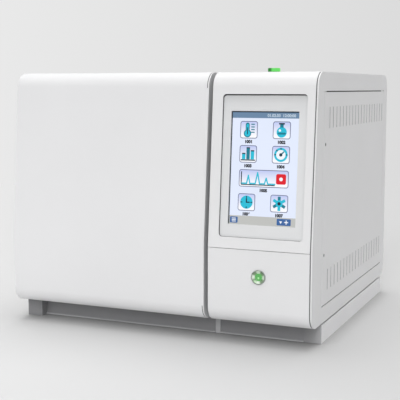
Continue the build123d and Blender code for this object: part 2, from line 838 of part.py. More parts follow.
def make_heater():
    """Two heating rings round the fan, tied together, with two legs through the back wall."""
    wheel_middle = oven_back - fan_disc_gap - blade_depth / 2
    section = Plane.XZ * Pos(heater_radius, 0) * RegularPolygon(heater_tube_radius, 12)
    hoop = Rot(90, 0, 0) * revolve(section, Axis.Z)
    element = Part()
    for step in (-0.5, 0.5):
        y = wheel_middle + step * heater_spacing
        element += Pos(left + oven_x, front + y, oven_z) * hoop
    back_ring = wheel_middle + heater_spacing / 2
    front_ring = wheel_middle - heater_spacing / 2
    for x in heater_leg_x():
        element += rod_y(x, heater_leg_z(), (back_ring, casing_back + 15), heater_leg_radius)
    for turn in (60, 180, 300):
        x = oven_x + heater_radius * sin(radians(turn))
        z = oven_z + heater_radius * cos(radians(turn))
        element += rod_y(x, z, (front_ring, back_ring), 2)
        if turn != 180:
            element += rod_y(x, z, (back_ring, oven_back - seat), 2)
    save("oven_heater", element)


def make_column():
    """Capillary column wound on a flat-wire cage that hangs from the oven's roof."""
    hoop_width = 2 * cage_wire
    cage_rear = cage_front + cage_depth
    hook_low = oven_z + cage_radius
    cage = Part()
    for y in (cage_front, cage_rear - hoop_width):
        span = (y, y + hoop_width)
        hoop = rod_y(oven_x, oven_z, span, cage_radius + cage_wire)
        hoop -= rod_y(oven_x, oven_z, (y - 1, y + hoop_width + 1), cage_radius - cage_wire)
        cage += hoop
        cage += rod_z(oven_x, y + cage_wire, (hook_low, oven_top - seat), cage_wire - 0.2)
    for turn in range(30, 390, 60):
        x = oven_x + cage_radius * sin(radians(turn))
        z = oven_z + cage_radius * cos(radians(turn))
        cage += rod_y(x, z, (cage_front + 1, cage_rear - 1), cage_wire - 0.4)
    save("column_cage", cage)

    middle = (cage_front + cage_rear) / 2
    coil_y = (middle - column_depth / 2, middle + column_depth / 2)
    coil_inner = cage_radius + cage_wire + seat
    coil = rod_y(oven_x, oven_z, coil_y, coil_inner + column_thickness)
    coil -= rod_y(oven_x, oven_z, (coil_y[0] - 1, coil_y[1] + 1), coil_inner)
    save("column_coil", coil)


# ---------------------------------------------------------------- injectors and detectors
def column_nut(x, y):
    """The hexagon nut that holds the column in an injector or detector foot."""
    return Pos(left + x, front + y, oven_top - foot_reach) * extrude(RegularPolygon(9, 6), 9)


def make_injectors():
    low = oven_top - foot_reach
    block_top = casing_top + seat + block_height
    body_top_z = block_top + 14
    cap_low = body_top_z - 8
    bodies = []
    caps = []
    for x in port_x:
        body = rod_z(x, injector_y, (low, body_top_z), port_radius)
        body += rod_z(x, injector_y, (block_top + seat, cap_low - seat), port_radius + 5)
        bodies.append(body + column_nut(x, injector_y))
        cap = rod_z(x, injector_y, (cap_low, body_top_z + 5), port_radius + 5)
        cap = chamfer(cap.faces().sort_by(Axis.Z)[-1].edges(), 1.2)
        cap -= rod_z(x, injector_y, (cap_low - overrun, body_top_z + press), port_radius + press)
        caps.append(cap - rod_z(x, injector_y, (body_top_z, body_top_z + 2 * overrun), needle_radius))
    save("injector_bodies", group(*bodies))
    save("injector_caps", group(*caps))


def make_detectors():
    low = oven_top - foot_reach
    block_top = casing_top + seat + block_height
    base = block_top + 8
    pieces = []
    for x in port_x:
        body = rod_z(x, detector_y, (low, base), port_radius)
        body += rod_z(x, detector_y, (block_top + seat, base), port_radius + 6)
        tower = rod_z(x, detector_y, (base + seat, base + 22), port_radius + 4)
        tower += rod_z(x, detector_y, (base + 21, base + 27), port_radius + 1)
        tower += rod_x(detector_y, base + 12, (x + port_radius, x + port_radius + 16), 5)
        pieces.append(body + column_nut(x, detector_y))
        pieces.append(tower)
    save("detectors", group(*pieces))


def make_heater_blocks():
    foot = casing_top + seat
    blocks = []
    for x in port_x:
        for y in (injector_y, detector_y):
            block_x = (x - block_half, x + block_half)
            body = block(block_x, (y - block_half, y + block_half), (foot, foot + block_height))
            body = chamfer(body.edges().filter_by(Axis.Z), 3)
            through = (foot - overrun, foot + block_height + overrun)
            blocks.append(body - rod_z(x, y, through, port_radius + port_clear))
    save("heated_blocks", group(*blocks))


# ---------------------------------------------------------------- vent ducts
def make_vents():
    ducts = []
    flap_y = casing_back + flap_from_casing
    shaft_start = duct_x[0] - duct_width / 2 - 6
    shaft_end = duct_x[1] + duct_width / 2 + 20
    bore_span = (shaft_start - overrun, shaft_end + overrun)
    bore = rod_x(flap_y, duct_z, bore_span, flap_shaft_radius + running)
    rotor = rod_x(flap_y, duct_z, (shaft_start, shaft_end), flap_shaft_radius)
    for x in duct_x:
        y = (oven_back + liner_wall + seat, body_depth - skin - seat)
        half_width = duct_width / 2
        half_height = duct_height / 2
        outer = block((x - half_width, x + half_width), y, (duct_z - half_height, duct_z + half_height))
        inner_half_width = half_width - duct_wall
        inner_half_height = half_height - duct_wall
        inner = block(
            (x - inner_half_width, x + inner_half_width),
            (y[0] - overrun, y[1] + overrun),
            (duct_z - inner_half_height, duct_z + inner_half_height),
        )
        ducts.append(outer - inner - bore)
        flap_x = (x - inner_half_width + flap_clear, x + inner_half_width - flap_clear)
        flap_z = (duct_z - inner_half_height + flap_clear, duct_z + inner_half_height - flap_clear)
        rotor += block(flap_x, (flap_y - flap_wall / 2, flap_y + flap_wall / 2), flap_z)
    save("vent_ducts", group(*ducts))
    save("vent_flaps", rotor)

    face = duct_x[1] + duct_width / 2 + seat
    half = stepper_size / 2
    motor_x = (face, face + stepper_length)
    motor = block(motor_x, (flap_y - half, flap_y + half), (duct_z - half, duct_z + half))
    motor = chamfer(motor.edges().filter_by(Axis.X), 4)
    motor -= rod_x(flap_y, duct_z, (face - overrun, shaft_end + 1), flap_shaft_radius + running)
    save("flap_stepper", motor)


# ---------------------------------------------------------------- screen tower
def make_tower_panels():
    x = (tower_left, panel_right)
    y = (-overrun, frame_front - joint)
    upper = band(x, y=y, z=(crease_height + joint, body_top + overrun))
    opening = RectangleRounded(recess_width, recess_height, recess_radius)
    centre_rise = recess_rise + recess_height / 2
    upper -= extrude(on_lean(recess_x, centre_rise, -overrun) * opening, -overrun - 2 * skin)
    save("tower_upper_panel", upper)

    lower = band(x, y=y, z=(0, crease_height - joint))
    lower -= rod_y(button_x, button_z, (-overrun, overrun), button_body_radius + seat)
    save("tower_lower_panel", lower)


def make_display():
    centre_rise = recess_rise + recess_height / 2
    window_centre = window_rise + window_height / 2
    bezel_top = skin + seat
    bezel_size = (recess_width + 2 * bezel_margin, recess_height + 2 * bezel_margin)
    bezel_depth = bezel_dish + bezel_wall
    bezel = on_lean(recess_x, centre_rise, bezel_top + bezel_depth / 2) * Box(*bezel_size, bezel_depth)
    outline = RectangleRounded(recess_width, recess_height, recess_radius)
    bezel -= extrude(on_lean(recess_x, centre_rise, bezel_top - overrun) * outline, -overrun - bezel_dish)
    window = Box(window_width, window_height, 4 * bezel_depth)
    bezel -= on_lean(recess_x, window_centre, bezel_top + bezel_depth / 2) * window
    touch_top = bezel_top + bezel_depth + seat
    touch_size = (window_width + 2 * touch_margin, window_height + 2 * touch_margin)
    touch = on_lean(recess_x, window_centre, touch_top + touch_wall / 2) * Box(*touch_size, touch_wall)
    module_top = touch_top + touch_wall + seat
    module_place = on_lean(recess_x, window_centre, module_top + display_depth / 2)
    module = module_place * Box(*touch_size, display_depth)
    plate_top = module_top + display_depth + seat
    plate_size = (bezel_size[0] - 4, touch_size[1])
    bracket = on_lean(recess_x, window_centre, plate_top + sheet / 2) * Box(*plate_size, sheet)
    post_length = plate_top - touch_top + sheet / 2
    for side in (-1, 1):
        for level in (-1, 1):
            across = recess_x + side * (plate_size[0] / 2 - post_radius - 1)
            rise = window_centre + level * (plate_size[1] / 2 - 20)
            post = Cylinder(post_radius, post_length)
            bracket += on_lean(across, rise, touch_top + post_length / 2) * post
    save("screen_bezel", bezel)
    save("touch_screen", touch)
    save("display_module", module)
    save("display_bracket", bracket)


def make_button():
    """Illuminated push button: fixed ring and barrel, and sprung cap; returns its nut."""
    ring = rod_y(button_x, button_z, (-button_ring_depth, -seat), button_ring_radius)
    ring = fillet(ring.faces().sort_by(Axis.Y)[0].edges(), button_ring_round)
    barrel = rod_y(button_x, button_z, (-button_ring_depth + 1, button_body_depth), button_body_radius)
    dish = Pos(left + button_x, front - button_ring_depth, button_z) * Rot(90, 0, 0)
    dish_floor = button_cap_radius + 2 * running
    dish = dish * Cone(dish_floor, 2 * button_dish_radius - dish_floor, 2 * button_dish_depth)
    bore_y = (-button_ring_depth - overrun, button_body_depth / 2)
    bore = rod_y(button_x, button_z, bore_y, button_cap_radius + 2 * running)
    save("button_ring", ring + barrel - dish - bore)

    cap_back = button_body_depth / 2 - button_travel - running_face
    cap_front = -button_ring_depth + button_cap_set_back
    cap = rod_y(button_x, button_z, (cap_front, cap_back), button_cap_radius)
    bowl_y = front + cap_front - bowl_radius + bowl_depth
    bowl = Pos(left + button_x, bowl_y, button_z) * Sphere(bowl_radius)
    save("button_cap", cap - bowl)

    nut_origin = (left + button_x, front + skin + seat, button_z)
    nut = Plane(origin=nut_origin, x_dir=(1, 0, 0), z_dir=(0, 1, 0))
    nut = extrude(nut * RegularPolygon(button_ring_radius + 1.5, 6), 5)
    thread = rod_y(button_x, button_z, (0, 2 * overrun), button_body_radius + press)
    return nut - thread


def make_lamp():
    """Status lamp on the tower's top; returns the nut under the panel."""
    lens = rod_z(lamp_x, lamp_y, (body_top + seat, body_top + lamp_height), lamp_radius)
    lens = fillet(lens.faces().sort_by(Axis.Z)[-1].edges(), 1.5)
    stem = rod_z(lamp_x, lamp_y, (ceiling - lamp_stem_length, body_top + seat + 1), lamp_stem_radius)
    save("status_lamp", lens + stem)
    nut_place = Pos(left + lamp_x, front + lamp_y, ceiling - seat - lamp_nut)
    nut = nut_place * extrude(RegularPolygon(lamp_radius + 3, 6), lamp_nut)
    thread = rod_z(lamp_x, lamp_y, (ceiling - 2 * overrun, ceiling + overrun), lamp_stem_radius + press)
    return nut - thread


# ---------------------------------------------------------------- electronics and services
def board_spacer_y():
    return (board_y[0] + 10, board_y[1] - 10)


def board_spacer_z():
    return (board_z[0] + 10, board_z[1] - 10)


def make_electronics():
    face = tower_left + sheet + board_standoff + seat
    board_x = (face, face + board_wall)
    board = block(board_x, board_y, board_z)
    for row in range(2):
        for column in range(3):
            y = board_y[0] + 30 + column * 90
            z = board_z[0] + 80 + row * 100
            height = 8 + 3 * column + 2 * row
            board += block((board_x[1], board_x[1] + height), (y, y + 40), (z, z + 30))
    save("main_board", board)

    low = floor_top + seat
    case_x = (board_x[1] + supply_gap, board_x[1] + supply_gap + supply_width)
    case_y = (body_depth - supply_from_rear - supply_length, body_depth - supply_from_rear)
    case = block(case_x, case_y, (low, low + supply_height))
    case -= block(
        (case_x[0] + sheet, case_x[1] - sheet),
        (case_y[0] + sheet, case_y[1] - sheet),
        (low + sheet, low + supply_height - sheet),
    )
    for index in range(9):
        y = case_y[0] + 20 + index * 12
        case -= block((case_x[0] - 1, case_x[1] + 1), (y, y + 3), (low + 20, low + 45))
    save("power_supply", case)


def gas_line_height(index):
    """Each gas line leaves the manifold at its own height."""
    return fitting_z - 4 + index * 8


def gas_fitting(x):
    """A bulkhead union: hexagon, rear thread for the tube nut, and an inner shank."""
    hexagon = Plane(origin=(left + x, front + body_depth, fitting_z), x_dir=(1, 0, 0), z_dir=(0, 1, 0))
    tip = body_depth + rear_reach
    body = extrude(hexagon * RegularPolygon(fitting_hex + 1, 6), rear_reach / 2)
    body += rod_y(x, fitting_z, (body_depth - 14, body_depth + 1), fitting_hex - 1)
    body += rod_y(x, fitting_z, (body_depth + rear_reach / 2, tip), fitting_thread)
    return body - rod_y(x, fitting_z, (tip - 6, tip + 1), gas_tube_radius)


def make_gas_system():
    x = (fitting_x[0] - 12, fitting_x[-1] + 12)
    y = (manifold_y - 12, manifold_y + 12)
    z = (fitting_z - 14, fitting_z + 14)
    manifold = block(x, y, z)
    manifold = chamfer(manifold.edges().filter_by(Axis.Z), 2)
    manifold += block((tower_left + sheet + seat, x[0] + 5), (y[0] + 4, y[1] - 4), (z[0], z[0] + 5))
    pieces = [manifold]
    for place in fitting_x:
        valve = rod_z(place, manifold_y, (z[1] + seat, z[1] + 22), 10)
        pieces.append(chamfer(valve.faces().sort_by(Axis.Z)[-1].edges(), 2))
    save("flow_manifold", group(*pieces))
    save("gas_fittings", group(*[gas_fitting(place) for place in fitting_x]))

    lines = []
    for place in fitting_x:
        span = (y[1] + seat, body_depth - 14 - seat)
        lines.append(rod_y(place, fitting_z, span, gas_tube_radius))
    for index, place in enumerate(port_x):
        start_z = gas_line_height(index)
        end_z = casing_top + seat + block_height + 3
        side = place + port_radius + 5 + seat
        route = FilletPolyline(
            (x[0] - seat, manifold_y, start_z),
            (side + 14, manifold_y, start_z),
            (side + 14, injector_y, end_z),
            (side, injector_y, end_z),
            radius=6,
        )
        circle = Plane(origin=route @ 0, z_dir=route % 0) * Circle(gas_tube_radius)
        lines.append(Pos(left, front, 0) * sweep(circle, path=route))
    save("gas_lines", group(*lines))


def make_cooler():
    y = (body_depth - skin - seat - cooler_depth, body_depth - skin - seat)
    half = cooler_size / 2
    frame = block((cooler_x - half, cooler_x + half), y, (cooler_z - half, cooler_z + half))
    frame = fillet(frame.edges().filter_by(Axis.Y), 5)
    frame -= rod_y(cooler_x, cooler_z, (y[0] - overrun, y[1] + overrun), cooler_bore)
    strut_y = (y[1] - 4, y[1])
    centre = Pos(left + cooler_x, front + (strut_y[0] + strut_y[1]) / 2, cooler_z)
    for turn in (0, 60, 120):
        frame += centre * Rot(0, turn, 0) * Box(5, 4, 2 * cooler_bore + 2)
    frame += rod_y(cooler_x, cooler_z, strut_y, cooler_hub)
    bearing = rod_y(cooler_x, cooler_z, (y[0], y[1] + 1), cooler_axle + running)
    save("cooling_fan_frame", frame - bearing)

    rotor_y = (y[0] + 2, strut_y[0] - 1)
    rotor = rod_y(cooler_x, cooler_z, rotor_y, cooler_hub)
    rotor += rod_y(cooler_x, cooler_z, (rotor_y[0], strut_y[1] - 1), cooler_axle)
    middle = Pos(left + cooler_x, front + (rotor_y[0] + rotor_y[1]) / 2, cooler_z)
    blade_length = cooler_bore - 1.5 - cooler_hub + 2
    for index in range(cooler_blades):
        blade = Pos(0, 0, cooler_hub - 2 + blade_length / 2) * Rot(0, 0, 38) * Box(18, 1.6, blade_length)
        rotor += middle * Rot(0, index * 360 / cooler_blades, 0) * blade
    save("cooling_fan_rotor", rotor)


def make_rear_connectors():
    face = body_depth
    half_width = inlet_width / 2
    half_height = inlet_height / 2
    flange = block(
        (inlet_x - half_width - inlet_flange, inlet_x + half_width + inlet_flange),
        (face + seat, face + seat + 2.5),
        (inlet_z - half_height - 3, inlet_z + half_height + 3),
    )
    body = block(
        (inlet_x - half_width, inlet_x + half_width),
        (face - inlet_depth, face + seat + 1),
        (inlet_z - half_height, inlet_z + half_height),
    )
    socket = block(
        (inlet_x - half_width + 3, inlet_x + half_width - 3),
        (face - 18, face + overrun),
        (inlet_z - half_height + 3, inlet_z + half_height - 3),
    )
    inlet = fillet(flange.edges().filter_by(Axis.Y), 3) + body - socket
    for across, level in ((-8, -3), (8, -3), (0, 4)):
        x = inlet_x + across
        z = inlet_z + level
        inlet += block((x - 1, x + 1), (face - 19, face - 3), (z - 3, z + 3))
    pieces = [inlet]
    for z in ports_z:
        flange = block((inlet_x - 15.4, inlet_x + 15.4), (face + seat, face + 1.2), (z - 6.3, z + 6.3))
        shell = block((inlet_x - 8.5, inlet_x + 8.5), (face + 0.6, face + 6), (z - 4, z + 4))
        inside = block((inlet_x - 7.5, inlet_x + 7.5), (face + 2, face + 7), (z - 3, z + 3))
        back = block((inlet_x - 12, inlet_x + 12), (face - 10, face + 0.8), (z - 5, z + 5))
        pieces.append(flange + shell + back - inside)
    save("rear_connectors", group(*pieces))


make_base()
make_chassis()
make_side_panels()
make_outer_panels()
make_lid()
make_door()
make_oven()
make_oven_fan()
make_baffle()
make_heater()
make_column()
make_injectors()
make_detectors()
make_heater_blocks()
make_vents()
make_tower_panels()
make_display()
save("panel_nuts", group(make_button(), make_lamp()))
make_electronics()
make_gas_system()
make_cooler()
make_rear_connectors()
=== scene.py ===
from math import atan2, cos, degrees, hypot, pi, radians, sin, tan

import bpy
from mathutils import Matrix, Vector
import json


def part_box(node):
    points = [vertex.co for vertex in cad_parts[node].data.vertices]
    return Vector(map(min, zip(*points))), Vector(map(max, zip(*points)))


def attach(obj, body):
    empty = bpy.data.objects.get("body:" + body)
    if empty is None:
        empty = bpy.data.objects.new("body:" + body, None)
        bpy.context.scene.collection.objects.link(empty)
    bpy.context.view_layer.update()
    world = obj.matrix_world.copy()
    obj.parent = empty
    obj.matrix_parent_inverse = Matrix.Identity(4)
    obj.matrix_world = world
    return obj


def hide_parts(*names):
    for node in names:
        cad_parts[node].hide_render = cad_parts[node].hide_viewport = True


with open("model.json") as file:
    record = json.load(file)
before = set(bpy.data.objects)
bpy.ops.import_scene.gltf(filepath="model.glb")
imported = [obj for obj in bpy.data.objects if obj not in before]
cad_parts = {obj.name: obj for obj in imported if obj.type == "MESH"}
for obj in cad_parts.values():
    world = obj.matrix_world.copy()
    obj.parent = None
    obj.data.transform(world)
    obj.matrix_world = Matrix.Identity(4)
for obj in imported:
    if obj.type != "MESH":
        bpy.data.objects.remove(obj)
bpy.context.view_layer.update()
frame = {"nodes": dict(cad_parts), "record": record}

# %% [markdown]
# # A bench gas chromatograph
# The solids of the machine come from the frame, in metres, each at its own place.
# This file dresses them: smooth painted panels, a lit screen, a push button, a lamp,
# a slotted cover and the oven behind the door. Every new piece starts from a primitive
# and is shaped in edit mode, so each step can also be done by hand in Blender.

MM = 0.001
corner = Vector((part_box("base_rails")[0][0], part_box("door_skin")[0][1], 0.0))


def at(x, y, z):
    """A point given in millimetres from the machine's front left corner on the bench."""
    return corner + Vector((x, y, z)) * MM


print("front left corner", tuple(round(v, 4) for v in corner))

# %% [markdown]
# ## Tools for modelling
# An operator acts on whatever is selected, so everything is deselected before a primitive
# is added, and faces, edges and points are then picked by a test of their place.
# Each piece keeps its place in its mesh, with its object at the origin.

# %% Add a box or a round bar at its size and place
AXIS_TURN = {"x": (0, pi / 2, 0), "y": (-pi / 2, 0, 0), "z": (0, 0, 0)}


def settle(name):
    """Name the new primitive and move its place into its mesh."""
    piece = bpy.context.active_object
    piece.name = name
    piece.data.name = name
    bpy.ops.object.transform_apply(location=True, rotation=True, scale=True)
    return piece


def add_box(name, low, high):
    bpy.ops.object.select_all(action="DESELECT")
    bpy.ops.mesh.primitive_cube_add(size=1, location=(low + high) / 2)
    bpy.context.active_object.scale = high - low
    return settle(name)


def add_bar(name, start, radius, length, axis="z", sides=48):
    """A round bar that begins at start and runs along +x, +y or +z."""
    bpy.ops.object.select_all(action="DESELECT")
    step = {"x": Vector((1, 0, 0)), "y": Vector((0, 1, 0)), "z": Vector((0, 0, 1))}[axis]
    bpy.ops.mesh.primitive_cylinder_add(
        vertices=sides,
        radius=radius * MM,
        depth=length * MM,
        location=start + step * length * MM / 2,
        rotation=AXIS_TURN[axis],
    )
    return settle(name)


# %% Pick parts of a mesh by a test, and shape them
def open_mesh(piece, kind):
    """Select the piece alone, in edit mode, with nothing of it picked."""
    bpy.ops.object.select_all(action="DESELECT")
    piece.select_set(True)
    bpy.context.view_layer.objects.active = piece
    bpy.ops.object.mode_set(mode="EDIT")
    bpy.ops.mesh.select_mode(type=kind)
    bpy.ops.mesh.select_all(action="DESELECT")
    bpy.ops.object.mode_set(mode="OBJECT")


def pick_points(piece, test):
    open_mesh(piece, "VERT")
    for point in piece.data.vertices:
        point.select = bool(test(point.co))
    bpy.ops.object.mode_set(mode="EDIT")


def pick_edges(piece, test):
    """The test is given both ends of the edge."""
    open_mesh(piece, "EDGE")
    points = piece.data.vertices
    for edge in piece.data.edges:
        edge.select = bool(test(points[edge.vertices[0]].co, points[edge.vertices[1]].co))
    bpy.ops.object.mode_set(mode="EDIT")


def pick_faces(piece, test):
    """The test is given the face's centre and its normal."""
    open_mesh(piece, "FACE")
    for face in piece.data.polygons:
        face.select = bool(test(face.center, face.normal))
    bpy.ops.object.mode_set(mode="EDIT")


def done():
    bpy.ops.object.mode_set(mode="OBJECT")


def round_edges(piece, test, width, steps):
    pick_edges(piece, test)
    bpy.ops.mesh.bevel(offset=width * MM, segments=steps, profile=0.5, affect="EDGES")
    done()


def drop_faces(piece, test):
    pick_faces(piece, test)
    bpy.ops.mesh.delete(type="FACE")
    done()


# %% Modifiers that are applied at once
def apply_modifier(piece, kind, **settings):
    bpy.ops.object.select_all(action="DESELECT")
    piece.select_set(True)
    bpy.context.view_layer.objects.active = piece
    step = piece.modifiers.new(kind.lower(), kind)
    for name, value in settings.items():
        setattr(step, name, value)
    bpy.ops.object.modifier_apply(modifier=step.name)


def soften(piece, width, steps=3, angle=30):
    """Break the sharp edges of a finished shape."""
    apply_modifier(
        piece, "BEVEL", width=width * MM, segments=steps, limit_method="ANGLE", angle_limit=radians(angle)
    )


def smooth(piece, angle=35):
    bpy.ops.object.select_all(action="DESELECT")
    piece.select_set(True)
    bpy.context.view_layer.objects.active = piece
    bpy.ops.object.shade_smooth_by_angle(angle=radians(angle))


def cut(piece, tool):
    """Take the tool's shape out of the piece."""
    apply_modifier(piece, "BOOLEAN", operation="DIFFERENCE", object=tool, solver="EXACT")
    bpy.data.objects.remove(tool)


def join(name, pieces):
    """Make one object of several."""
    bpy.ops.object.select_all(action="DESELECT")
    for piece in pieces:
        piece.select_set(True)
    bpy.context.view_layer.objects.active = pieces[0]
    if len(pieces) > 1:
        bpy.ops.object.join()
    pieces[0].name = name
    pieces[0].data.name = name
    return pieces[0]


def copy_of(piece, name, move):
    """A copy with a mesh of its own, moved by millimetres."""
    twin = piece.copy()
    twin.data = piece.data.copy()
    twin.name = name
    twin.data.name = name
    bpy.context.scene.collection.objects.link(twin)
    twin.data.transform(Matrix.Translation(Vector(move) * MM))
    return twin


def merged_copy(node, name):
    """A smooth copy of one of the solids: its triangles are merged first."""
    source = frame["nodes"][node]
    twin = source.copy()
    twin.data = source.data.copy()
    twin.name = name
    twin.data.name = name
    bpy.context.scene.collection.objects.link(twin)
    pick_points(twin, lambda place: True)
    bpy.ops.mesh.remove_doubles(threshold=1e-6)
    bpy.ops.mesh.tris_convert_to_quads(face_threshold=radians(1), shape_threshold=radians(180))
    done()
    return twin


def place_piece(piece, body, finish, slot, *nodes):
    """Give a finished piece its material, its body and the nodes it stands for, which it hides; the slot is
    not used.
    """
    piece.data.materials.clear()
    piece.data.materials.append(finish)
    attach(piece, body)
    if nodes:
        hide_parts(*nodes)
    print(piece.name, len(piece.data.polygons), "faces")


# %% [markdown]
# ## Finishes
# Each finish is a node tree on Object coordinates. Colour varies a little over the surface,
# roughness follows a fine noise, and a bump gives powder coat its peel and steel its grain.
# Colours are written as they look on a screen and turned to linear light here.

# %% Build a finish
def light(red, green, blue):
    """A screen colour, 0 to 255, as linear light."""
    values = []
    for part in (red, green, blue):
        share = part / 255
        values.append(share / 12.92 if share <= 0.04045 else ((share + 0.055) / 1.055) ** 2.4)
    return (*values, 1.0)


def tinted(colour, share):
    return (*[min(1.0, part * share) for part in colour[:3]], 1.0)


def add_node(tree, kind, given, **settings):
    """Add a shader node; each given input is an output to link or a plain value to set."""
    node = tree.nodes.new("ShaderNode" + kind)
    for name, value in settings.items():
        setattr(node, name, value)
    for key, value in given.items():
        if isinstance(value, bpy.types.NodeSocket):
            tree.links.new(value, node.inputs[key])
        else:
            node.inputs[key].default_value = value
    return node


def add_ramp(tree, share, *stops):
    """The colour at a share of the way from 0 to 1, by (place, colour) stops."""
    ramp = add_node(tree, "ValToRGB", {"Fac": share})
    first, last = ramp.color_ramp.elements
    first.position, first.color = stops[0]
    last.position, last.color = stops[-1]
    for place, colour in stops[1:-1]:
        ramp.color_ramp.elements.new(place).color = colour
    return ramp.outputs["Color"]


def share_along(tree, axis, start, end):
    """How far a point lies between two places on an axis, from 0 to 1."""
    place = tree.nodes["Texture Coordinate"].outputs["Object"]
    split = add_node(tree, "SeparateXYZ", {0: place})
    limits = {"From Min": start, "From Max": end}
    return add_node(tree, "MapRange", {"Value": split.outputs[axis], **limits}).outputs["Result"]


def finish(name, colour, rough, metal=0.0, vary=0.03, cloud=6.0, grain=(900, 900, 900), bump=0.05,
           depth=0.0001, rough_vary=0.06):
    """Colour with clouds, grained roughness and a bump, on the piece's own coordinates."""
    material = bpy.data.materials.new(name)
    material.use_nodes = True
    tree = material.node_tree
    shader = tree.nodes["Principled BSDF"]
    shader.inputs["Metallic"].default_value = metal
    place = add_node(tree, "TexCoord", {}).outputs["Object"]
    clouds = add_node(tree, "TexNoise", {"Vector": place, "Scale": cloud, "Detail": 4}).outputs["Fac"]
    paint = add_ramp(tree, clouds, (0.3, tinted(colour, 1 - vary)), (0.7, tinted(colour, 1 + vary)))
    stretch = add_node(tree, "Mapping", {"Vector": place, "Scale": grain}).outputs["Vector"]
    fine = add_node(tree, "TexNoise", {"Vector": stretch, "Scale": 1.0, "Detail": 3}).outputs["Fac"]
    limits = {"To Min": max(0.02, rough - rough_vary), "To Max": min(1.0, rough + rough_vary)}
    spread = add_node(tree, "MapRange", {"Value": fine, **limits})
    relief = add_node(tree, "Bump", {"Strength": bump, "Distance": depth, "Height": fine})
    tree.links.new(paint, shader.inputs["Base Color"])
    tree.links.new(spread.outputs["Result"], shader.inputs["Roughness"])
    tree.links.new(relief.outputs["Normal"], shader.inputs["Normal"])
    return material


# %% The machine's finishes
POWDER = (1100, 1100, 1100)
panel_white = finish("panel_white", light(229, 229, 230), 0.38, vary=0.012, grain=POWDER, bump=0.12)
beam_grey = finish("beam_grey", light(136, 136, 138), 0.45, vary=0.04, bump=0.2)
# The rails' paint is a little lighter than the panels' paint: painted light on the rails.
rail_paint = finish("rail_paint", light(236, 236, 237), 0.42, vary=0.02, grain=POWDER, bump=0.15)
# The plate greys below are the base's one paint as it looks in shade and in light: painted shade and painted
# light.
post_grey = finish("post_grey", light(178, 178, 180), 0.42, vary=0.02, grain=POWDER, bump=0.15)
plate_grey = finish("plate_grey", light(130, 130, 132), 0.42, vary=0.02, grain=POWDER, bump=0.15)
corner_grey = finish("corner_grey", light(176, 176, 178), 0.42, vary=0.02, grain=POWDER, bump=0.15)
cut_edge = finish("cut_edge", light(160, 161, 163), 0.55, vary=0.05, bump=0.2)
seam_grey = finish("seam_grey", light(92, 93, 95), 0.6, vary=0.05, bump=0.2)
screw_dark = finish("screw_dark", light(72, 73, 76), 0.35, metal=0.7, vary=0.04, bump=0.1)
zinc = finish(
    "zinc", light(176, 178, 180), 0.36, metal=0.9, vary=0.06, cloud=28, grain=(240, 240, 900), bump=0.1
)
stainless = finish(
    "stainless", light(178, 177, 174), 0.3, metal=1.0, vary=0.04, grain=(60, 60, 2400), bump=0.14
)
steel = finish("steel", light(172, 172, 174), 0.28, metal=1.0, vary=0.04, bump=0.1)
wool = finish(
    "wool", light(212, 206, 184), 0.95, vary=0.12, cloud=40, grain=(500, 90, 500), bump=0.9, depth=0.002
)
motor_grey = finish("motor_grey", light(74, 76, 79), 0.42, metal=0.2, vary=0.05, bump=0.25)
heater_sheath = finish("heater_sheath", light(96, 84, 74), 0.5, metal=0.8, vary=0.25, cloud=60, bump=0.2)
column_brown = finish(
    "column_brown", light(120, 66, 32), 0.35, vary=0.1, grain=(90, 2600, 90), bump=0.8, depth=0.0006
)
aluminium = finish(
    "aluminium", light(198, 200, 203), 0.34, metal=0.9, vary=0.03, grain=(120, 1600, 120), bump=0.1
)
black_plastic = finish("black_plastic", light(34, 34, 36), 0.5, vary=0.08, bump=0.4)
seal_grey = finish("seal_grey", light(58, 56, 54), 0.75, vary=0.1, grain=(700, 700, 700), bump=0.5)
magnet_dark = finish("magnet_dark", light(52, 50, 49), 0.6, vary=0.08, bump=0.3)
bezel_white = finish("bezel_white", light(224, 225, 226), 0.3, vary=0.01, grain=(1500, 1500, 1500), bump=0.05)
chrome = finish("chrome", light(214, 215, 218), 0.12, metal=1.0, vary=0.02, rough_vary=0.03, bump=0.02)
board_green = finish("board_green", light(26, 92, 52), 0.4, vary=0.12, cloud=120, bump=0.3)
brass = finish("brass", light(205, 170, 96), 0.28, metal=1.0, vary=0.06, bump=0.1)
print(len(bpy.data.materials), "finishes")

# %% Give every solid the finish of its slot
slot_finish = {
    "body_paint": panel_white, "beam_grey": beam_grey, "zinc_sheet": zinc, "stainless": stainless,
    "steel": steel, "mineral_wool": wool, "motor_grey": motor_grey, "heater_sheath": heater_sheath,
    "column_brown": column_brown, "aluminium": aluminium, "black_plastic": black_plastic,
    "seal_grey": seal_grey, "magnet_dark": magnet_dark, "bezel_plastic": bezel_white,
    "screen_glass": bezel_white, "chrome_trim": chrome, "button_green": chrome, "lamp_green": chrome,
    "board_green": board_green, "brass": brass,
}
slot_of = {row["node"]: row["material_slot"] for row in frame["record"]["subparts"]}
for node, solid in frame["nodes"].items():
    solid.data.materials.clear()
    solid.data.materials.append(slot_finish[slot_of[node]])
print(len(slot_of), "solids dressed")

# %% [markdown]
# ## Painted shells
# The front of the machine stands upright up to a crease and leans back above it, and its
# long edges are rolled. A box is cut at the crease, its upper edge is pushed back, and
# bevels with many steps make the rolls, so they catch one clean line of light.

# %% The front's outline, in millimetres
BODY_LOW = 37.0
BODY_TOP = 480.0
BODY_DEPTH = 560.0
CREASE = 172.0
LEAN = radians(4.8)
FRONT_ROLL = 28.0
REAR_ROLL = 30.0
ROLL_STEPS = 16
SHEET = 2.5
BODY_WIDTH = 602.0
CLEAR = 0.02
NEAR = 0.2 * MM


def lean_back(height):
    """How far back the front stands at a height."""
    return max(0.0, height - CREASE) * tan(LEAN)


def near(value, target):
    return abs(value - target) < NEAR


